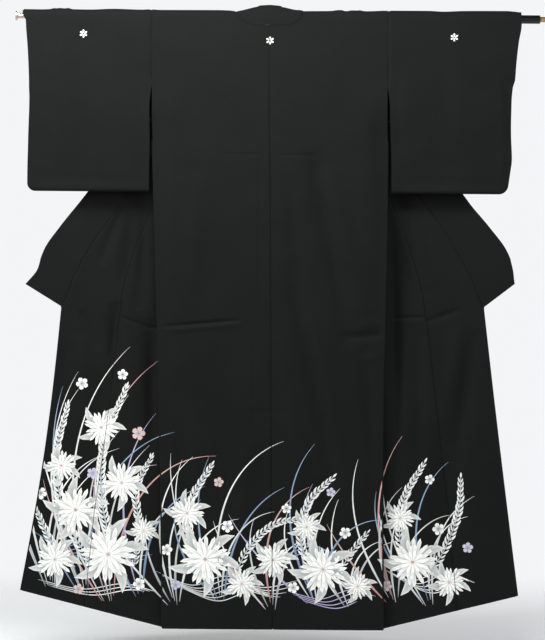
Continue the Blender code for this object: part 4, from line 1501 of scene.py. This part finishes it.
FRONDS = (
    (((-0.47, -1.50), (-0.545, -1.37), (-0.575, -1.21), (-0.545, -1.06)), 0.021),
    (((-0.40, -1.49), (-0.445, -1.34), (-0.445, -1.17), (-0.385, -1.01)), 0.021),
    (((-0.36, -1.50), (-0.345, -1.40), (-0.355, -1.29), (-0.315, -1.20)), 0.018),
    (((-0.52, -1.50), (-0.585, -1.43), (-0.630, -1.34)), 0.018),
    (((-0.16, -1.53), (-0.205, -1.43), (-0.205, -1.32), (-0.150, -1.22)), 0.020),
    (((-0.09, -1.53), (-0.045, -1.44), (0.020, -1.38), (0.100, -1.36)), 0.018),
    (((0.13, -1.52), (0.095, -1.42), (0.115, -1.32), (0.180, -1.25)), 0.020),
    (((0.19, -1.52), (0.235, -1.45), (0.275, -1.40)), 0.016),
    (((0.40, -1.52), (0.365, -1.42), (0.375, -1.31), (0.430, -1.21)), 0.020),
    (((0.44, -1.52), (0.490, -1.44), (0.525, -1.34), (0.530, -1.25)), 0.019),
)
for k, (points, leaf) in enumerate(FRONDS):
    add_frond(points, leaf, 8 + 4 * (k % 2))

FLOWERS = (
    (-0.452, -1.120, 0.046, 0.2),
    (-0.560, -1.225, 0.040, 0.7),
    (-0.520, -1.345, 0.062, 0.9),
    (-0.395, -1.270, 0.052, 0.5),
    (-0.430, -1.465, 0.074, 0.0),
    (-0.575, -1.480, 0.050, 0.3),
    (-0.335, -1.400, 0.034, 0.6),
    (-0.165, -1.475, 0.068, 0.4),
    (-0.215, -1.350, 0.044, 0.8),
    (-0.065, -1.540, 0.040, 0.2),
    (0.020, -1.475, 0.046, 0.1),
    (0.155, -1.500, 0.064, 0.6),
    (0.110, -1.385, 0.036, 0.3),
    (0.250, -1.545, 0.036, 0.9),
    (0.400, -1.480, 0.064, 0.7),
    (0.365, -1.360, 0.038, 0.2),
    (0.500, -1.535, 0.042, 0.5),
)
for x, z, radius, turn in FLOWERS:
    centre = Vector((x, z))
    for k in range(5):
        angle = turn + 1.05 + 1.33 * k
        path = [centre + turned(angle + 0.10 * s, radius * (0.4 + 0.28 * s)) for s in range(5)]
        add_strip(path, radius * 0.42, POINTED, SHADE, PEARL, 16 + k % 2, vein=0.5)
    add_chrysanthemum(x, z, radius, turn, 18)

BLOSSOMS = (
    (-0.350, -1.135, 0.019, 0.3, ROSE_PALE),
    (-0.505, -1.000, 0.017, 0.8, WHITE),
    (-0.395, -0.975, 0.015, 0.1, WHITE),
    (-0.475, -1.245, 0.016, 0.4, LAVENDER_PALE),
    (-0.615, -1.300, 0.017, 0.5, WHITE),
    (-0.345, -1.545, 0.017, 0.9, WHITE),
    (-0.510, -1.560, 0.015, 0.2, ROSE_PALE),
    (-0.270, -1.450, 0.016, 0.2, WHITE),
    (-0.105, -1.385, 0.017, 0.6, WHITE),
    (-0.130, -1.265, 0.014, 0.2, ROSE_PALE),
    (-0.245, -1.545, 0.014, 0.7, LAVENDER_PALE),
    (0.075, -1.550, 0.016, 0.4, WHITE),
    (0.055, -1.335, 0.014, 0.0, WHITE),
    (0.215, -1.400, 0.016, 0.7, WHITE),
    (0.175, -1.290, 0.013, 0.2, LAVENDER_PALE),
    (0.330, -1.545, 0.015, 0.5, ROSE_PALE),
    (0.470, -1.390, 0.017, 0.9, WHITE),
    (0.445, -1.255, 0.014, 0.3, WHITE),
    (0.550, -1.440, 0.015, 0.1, LAVENDER_PALE),
)
for x, z, radius, turn, tint in BLOSSOMS:
    add_plum(x, z, radius, turn, 26, tint)
print("picture:", len(picture.faces), "faces")

# %% Rosettes at the shoulders
# Three small white rosettes mark the centre of the back and the back of each sleeve.
ROSETTE_PLACES = ((0.0006, -0.0640), (-0.506, -0.0487), (0.501, -0.0520))
ROSETTE_RADIUS = 0.011
for place in ROSETTE_PLACES:
    for k in range(6):
        path = spoke(Vector(place), math.pi * k / 3, ROSETTE_RADIUS, 0.16, 5)
        add_strip(path, 0.58 * ROSETTE_RADIUS, ROUND_TIP, SILVER, WHITE, k % 2, line=PEARL)

# %% [markdown]
# ## Cutting the picture at the seams
# The cloth was dyed before the last sewing, so the picture runs across the seams, but each panel
# keeps its own part and the seam stays visible between them. We shift the flat picture so that a
# seam becomes a straight upright line, bisect it there, and drop the sliver that falls in it.

# %% Where the seams lie in the picture
def side_seam(side, down):
    return placed(side, level_at(down).side, 0, z_of(down))


def line_down(start, step, place_at):
    """A function from z to x along a line of the cloth, from that far down to the hem."""
    places = [place_at(down) for down in spread(start, HEM_DOWN, step)]
    depths, outs = zip(*sorted((-place.z, place.x) for place in places))
    return lambda z: float(np.interp(-z, depths, outs))


SIDE_LINES, OVERLAP_LINES, EDGE_LINES = {}, {}, {}
for side in SIDES:
    SIDE_LINES[side] = line_down(0.3, 0.04, lambda down: side_seam(side, down))
    for lines, width_of in ((OVERLAP_LINES, body_width), (EDGE_LINES, front_width)):
        lines[side] = line_down(0.5, 0.03, lambda down: front_point(side, down, width_of(down)))


# %% Bisect along a line and drop what lies within it
def cut_along(x_at, start, end, low_z=-0.2):
    """Drops the faces between two distances from the line, below a height."""
    for vert in picture.verts:
        vert.co.x -= x_at(vert.co.z)
    for place in (start, end):
        everything = picture.verts[:] + picture.edges[:] + picture.faces[:]
        bmesh.ops.bisect_plane(
            picture, geom=everything, plane_co=(place, 0, 0), plane_no=(1, 0, 0), dist=1e-6
        )
    dropped = []
    for face in picture.faces:
        middle = face.calc_center_median()
        if start < middle.x < end and middle.z < low_z:
            dropped.append(face)
    bmesh.ops.delete(picture, geom=dropped, context="FACES")
    for vert in picture.verts:
        vert.co.x += x_at(vert.co.z)


SEAM_SHOWS = 0.0007
SIDE_BULGE = 0.0045  # the side seam's turn stands out this far and hides what is behind it
FAR = 1.0
cut_along(sway_at, -SEAM_SHOWS, SEAM_SHOWS, 0.0)
for side in SIDES:
    way = sign_of(side)
    for line, near, far in (
        (SIDE_LINES[side], -SEAM_SHOWS, SIDE_BULGE),
        (OVERLAP_LINES[side], -SEAM_SHOWS, SEAM_SHOWS),
        (EDGE_LINES[side], -0.004, FAR),
    ):
        start, end = sorted((way * near, way * far))
        cut_along(line, start, end)
print("cut picture:", len(picture.faces), "faces")

# %% [markdown]
# ## Laying the picture on the cloth
# A ray from the viewer finds the cloth behind every point of the flat picture. The dye stands a
# fraction of a millimetre proud, each shape in its own layer, and its sides go down into the
# cloth, so that every motif is a closed, thin body that follows the folds.

# %% Paste-resist dye
LIFT = 0.00030
LIFT_STEP = 0.00004
SUNK = 0.00015
dye_paste, tree, shader = new_material(
    "paste-resist dye and silver on crepe",
    Roughness=0.62,
    Specular_IOR_Level=0.4,
    Sheen_Weight=0.12,
    Sheen_Roughness=0.5,
)
painted = add_node(tree, "Attribute", attribute_name="dye")
spot = add_node(tree, "TexCoord").outputs["Object"]
grain = add_node(
    tree, "TexNoise", {"Scale": 1 / CREPE_GRAIN, "Detail": 2.0, "Roughness": 0.6}, {"Vector": spot}
)
BRUSH_STROKES = 1 / 60  # 17 mm, where a brush laid the paste thinner or thicker
brush = add_node(tree, "TexNoise", {"Scale": 1 / BRUSH_STROKES, "Detail": 3.0}, {"Vector": spot})
wash = add_node(
    tree,
    "MapRange",
    {"From Min": 0.3, "From Max": 0.7, "To Min": 0.86, "To Max": 1.0},
    {"Value": brush},
)
tone = add_node(
    tree, "VectorMath", {}, {0: painted.outputs["Color"], 1: wash}, operation="MULTIPLY"
)
relief = add_node(tree, "Bump", {"Strength": 0.35, "Distance": 0.0003}, {"Height": grain})
connect(shader, {"Base Color": tone, "Normal": relief})


# %% Cloth to aim at
def facing_cloth(pieces, least_y, most_y):
    """A search tree of the faces that look at the viewer, within a range of depth."""
    verts, faces = [], []
    for piece in pieces:
        data = piece.data
        start = len(verts)
        verts += [vert.co.copy() for vert in data.vertices]
        for face in data.polygons:
            if face.normal.y < -0.25 and least_y < face.center.y < most_y:
                faces.append([start + index for index in face.vertices])
    return BVHTree.FromPolygons(verts, faces)


# %% From flat faces to a thin closed body
def lay_on_cloth(name, wanted, target):
    """Makes the wanted faces of the picture a piece of dye on the cloth that the tree holds."""
    index, tops, floors, colours, faces = {}, [], [], [], []
    for face in picture.faces:
        if not wanted(face.calc_center_median()):
            continue
        loop = []
        for vert in face.verts:
            if vert not in index:
                origin = Vector((vert.co.x, -0.5, vert.co.z))
                hit, normal, _, _ = target.ray_cast(origin, Vector((0, 1, 0)))
                if hit is None:
                    hit, normal, _, _ = target.find_nearest(vert.co)
                proud = (LIFT + LIFT_STEP * vert[lift_layer]) / max(-normal.y, 0.4)
                index[vert] = len(tops)
                tops.append((vert.co.x, hit.y - proud, vert.co.z))
                floors.append((vert.co.x, hit.y + SUNK, vert.co.z))
                colours.append(tuple(vert[dye_layer]))
            loop.append(index[vert])
        faces.append(loop)
    count = len(tops)
    edges = {}
    for loop in faces:
        for a, b in zip(loop, loop[1:] + loop[:1]):
            edges[(a, b)] = True
    walls = [(b, a, a + count, b + count) for a, b in edges if (b, a) not in edges]
    below = [[v + count for v in reversed(loop)] for loop in faces]
    data = bpy.data.meshes.new(name)
    data.from_pydata(tops + floors, [], faces + below + walls)
    layer = data.attributes.new("dye", "FLOAT_COLOR", "POINT")
    layer.data.foreach_set("color", [v for colour in colours * 2 for v in colour])
    return closed_object(name, data, dye_paste, 40)


# %% One piece of dye for each panel
BELOW_SLEEVES = -0.6
back_target = facing_cloth(bodies.values(), -0.05, -0.001)
dyes = {}
for side in SIDES:
    way = sign_of(side)
    inner, outer = SIDE_LINES[side], OVERLAP_LINES[side]

    def on_back(spot, way=way, inner=inner):
        return way * (spot.x - sway_at(spot.z)) > 0 and way * (spot.x - inner(spot.z)) < 0

    def on_wing(spot, way=way, inner=inner):
        return spot.z < BELOW_SLEEVES and way * (spot.x - inner(spot.z)) > 0

    def on_sleeve(spot, way=way):
        return spot.z > BELOW_SLEEVES and way * spot.x > SHOULDER_OUT

    wing_target = facing_cloth((bodies[side], overlaps[side]), 0.0085, 0.09)
    sleeve_target = facing_cloth((sleeves[side],), -0.05, -0.001)
    dyes[f"body_{side}"] = [
        lay_on_cloth(f"hem_picture_back_{side}", on_back, back_target),
        lay_on_cloth(f"hem_picture_front_{side}", on_wing, wing_target),
    ]
    dyes[f"sleeve_{side}"] = [lay_on_cloth(f"rosette_sleeve_{side}", on_sleeve, sleeve_target)]
picture.free()

# %% [markdown]
# ## The padded edge at the hem
# A formal kimono ends in a soft roll: the facing is brought round a strip of wadding, so the hem
# has a rounded lip that catches the light and weighs the cloth down. It is a thin padded tube
# that follows the lower edge of the back, turns at the side seam and runs out along the front.

# %% Hem rolls
ROLL_RADIUS = 0.0021
ROLL_SIDES = 10
LEAST_STEP = 0.0004  # points closer to the one before are left out


def make_hem_roll(side):
    outs = [out for out in reversed(back_outs(side, HEM_DOWN)) if out > 0.0005]
    half = Vector((0, THICKNESS / 2, 0))
    line = [back_point(side, HEM_DOWN, out) + half for out in outs]
    columns = front_columns(side, HEM_DOWN)
    columns += spread(columns[-1], front_width(HEM_DOWN), 0.006)
    turned = FIRST_COLUMNS + TURN_COLUMNS // 2
    for k, across in enumerate(columns):
        line.append(front_point(side, HEM_DOWN, across) + (half if k > turned else -half))
    far = [True] + [(b - a).length > LEAST_STEP for a, b in zip(line, line[1:])]
    line = [point for point, keep in zip(line, far) if keep]
    rings, flats, run = [], [], 0.0
    for k, here in enumerate(line):
        before, after = line[max(k - 1, 0)], line[min(k + 1, len(line) - 1)]
        along = (after - before).normalized()
        beside = along.cross(Vector((0, 0, 1))).normalized()
        upward = beside.cross(along)
        run += (here - before).length
        size = ROLL_RADIUS * (1 + ripple(run, 0.0, PADDING_WAVES))
        size *= 0.55 if k in (0, len(line) - 1) else 1.0
        for step in range(ROLL_SIDES):
            angle = 2 * math.pi * step / ROLL_SIDES
            round_it = beside * math.cos(angle) + upward * math.sin(angle)
            rings.append(here + round_it * size)
            flats += (run, 0.013 * step / ROLL_SIDES, 0.0)
    faces = []
    for k in range(len(line) - 1):
        for step in range(ROLL_SIDES):
            a, b = k * ROLL_SIDES + step, k * ROLL_SIDES + (step + 1) % ROLL_SIDES
            faces.append((a, a + ROLL_SIDES, b + ROLL_SIDES, b))
    faces.append(tuple(range(ROLL_SIDES)))
    faces.append(tuple(len(rings) - 1 - step for step in range(ROLL_SIDES)))
    name = f"hem_roll_{side}"
    data = bpy.data.meshes.new(name)
    data.from_pydata(rings, [], faces)
    data.attributes.new("cut", "FLOAT_VECTOR", "POINT").data.foreach_set("vector", flats)
    return closed_object(name, data, crepe, 50)


hem_rolls = {side: make_hem_roll(side) for side in SIDES}

# %% [markdown]
# ## The rod
# The rod is a telescoping one: a thick tube in black lacquer through both sleeves, with a thinner
# metal tube drawn out at each end and a small collar on its tip. The lacquer is glossy with fine
# rub marks; the thin tubes are turned and polished, so their brushing runs round them.

# %% Lacquer
lacquer, tree, shader = new_material(
    "black lacquered tube",
    Specular_IOR_Level=0.3,
    Coat_Weight=0.12,
    Coat_Roughness=0.08,
)
shader.inputs["Base Color"].default_value = linear("#08080a")
place = add_node(tree, "TexCoord").outputs["Object"]
RUB_LENGTH, RUB_WIDTH = 1 / 14, 1 / 600  # 71 mm along the rod and 1.7 mm round it
rub_scale = (1 / RUB_LENGTH, 1 / RUB_WIDTH, 1 / RUB_WIDTH)
rubbed = add_node(tree, "Mapping", {"Scale": rub_scale}, {"Vector": place})
rubs = add_node(tree, "TexNoise", {"Scale": 1.0, "Detail": 4.0}, {"Vector": rubbed})
dull = add_node(
    tree,
    "MapRange",
    {"From Min": 0.35, "From Max": 0.75, "To Min": 0.12, "To Max": 0.26},
    {"Value": rubs},
)
relief = add_node(tree, "Bump", {"Strength": 0.15, "Distance": 0.0001}, {"Height": rubs})
connect(shader, {"Roughness": dull, "Normal": relief})


# %% Turned metal
TURNING_MARKS, MARK_LENGTH = 1 / 2600, 1 / 40  # 0.4 mm apart along the rod, 25 mm long round it
TARNISH_PATCHES = 1 / 90  # 11 mm


def turned_metal(name, dark, light):
    """Polished metal with fine marks round the tube and a slow change of tarnish along it."""
    made, tree, shader = new_material(name, Metallic=1.0)
    place = add_node(tree, "TexCoord").outputs["Object"]
    turned_scale = (1 / TURNING_MARKS, 1 / MARK_LENGTH, 1 / MARK_LENGTH)
    across = add_node(tree, "Mapping", {"Scale": turned_scale}, {"Vector": place})
    marks = add_node(tree, "TexNoise", {"Scale": 1.0, "Detail": 3.0}, {"Vector": across})
    patchy = {"Scale": 1 / TARNISH_PATCHES, "Detail": 4.0}
    tarnish = add_node(tree, "TexNoise", patchy, {"Vector": place})
    hue = add_node(
        tree, "Mix", {MIX_A: linear(dark), MIX_B: linear(light)}, {0: tarnish}, data_type="RGBA"
    )
    rough = add_node(
        tree,
        "MapRange",
        {"From Min": 0.3, "From Max": 0.7, "To Min": 0.22, "To Max": 0.40},
        {"Value": marks},
    )
    relief = add_node(tree, "Bump", {"Strength": 0.25, "Distance": 0.00005}, {"Height": marks})
    links = {"Base Color": hue.outputs[MIX_RESULT], "Roughness": rough, "Normal": relief}
    connect(shader, links)
    return made


rose_plate = turned_metal("rose-tinted plated tube", "#b9a29b", "#dccbc4")
brass = turned_metal("satin brass", "#9c7f56", "#c9ac7e")

# %% The solids of the rod stay, in their own finish
for node, finish in (
    ("rod", lacquer),
    ("rod_stub_left", rose_plate),
    ("rod_cap_left", rose_plate),
    ("rod_stub_right", brass),
    ("rod_cap_right", brass),
):
    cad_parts[node].material_slots[0].material = finish

# %% [markdown]
# ## What each piece stands for
# Each cloth takes the place of its solid and says what size it was cut to. The flat size is read
# from the places on the cut that the cloth carries, so it is the area of what shows.


# %% Size of the flat cut
CUT_JUMP = 0.05  # the few faces that join two edges of the cut in a side seam are longer than this


def flat_cut(piece):
    """Width, length and area of the piece's outer faces where they lie on the flat cut."""
    data = piece.data
    places = [Vector(spot.vector).to_2d() for spot in data.attributes["cut"].data]
    area, used = 0.0, set()
    for face in data.polygons:
        if face.material_index:
            continue
        corners = [places[index] for index in face.vertices]
        if len(corners) != 4:
            continue
        first, second = corners[2] - corners[0], corners[3] - corners[1]
        if max(first.length, second.length) > CUT_JUMP:
            continue
        area += abs(first.x * second.y - first.y * second.x) / 2
        used.update(face.vertices)
    wide = [places[index].x for index in used]
    long = [places[index].y for index in used]
    return max(wide) - min(wide), max(long) - min(long), area


# %% Everything rides on the one body and stands for its solid
CLOTHS = [(collar_cover, "over_collar", ("rod",))]
for side in SIDES:
    dyes[f"body_{side}"].append(hem_rolls[side])
    CLOTHS += [
        (bodies[side], f"body_{side}", ("rod",)),
        (overlaps[side], f"overlap_panel_{side}", (bodies[side],)),
        (sleeves[side], f"sleeve_{side}", ("rod",)),
        (collars[side], f"collar_{side}", (bodies[side], overlaps[side])),
    ]
for cloth, node, rests_on in CLOTHS:
    with_pieces = dyes.get(node, [])
    width, length, area = flat_cut(cloth)
    print(f"{node}: cut {width:.4f} x {length:.4f} m, {area:.4f} square metres")
    for piece in (cloth, *with_pieces):
        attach(piece, "root")
    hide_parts(node)
bpy.context.view_layer.update()
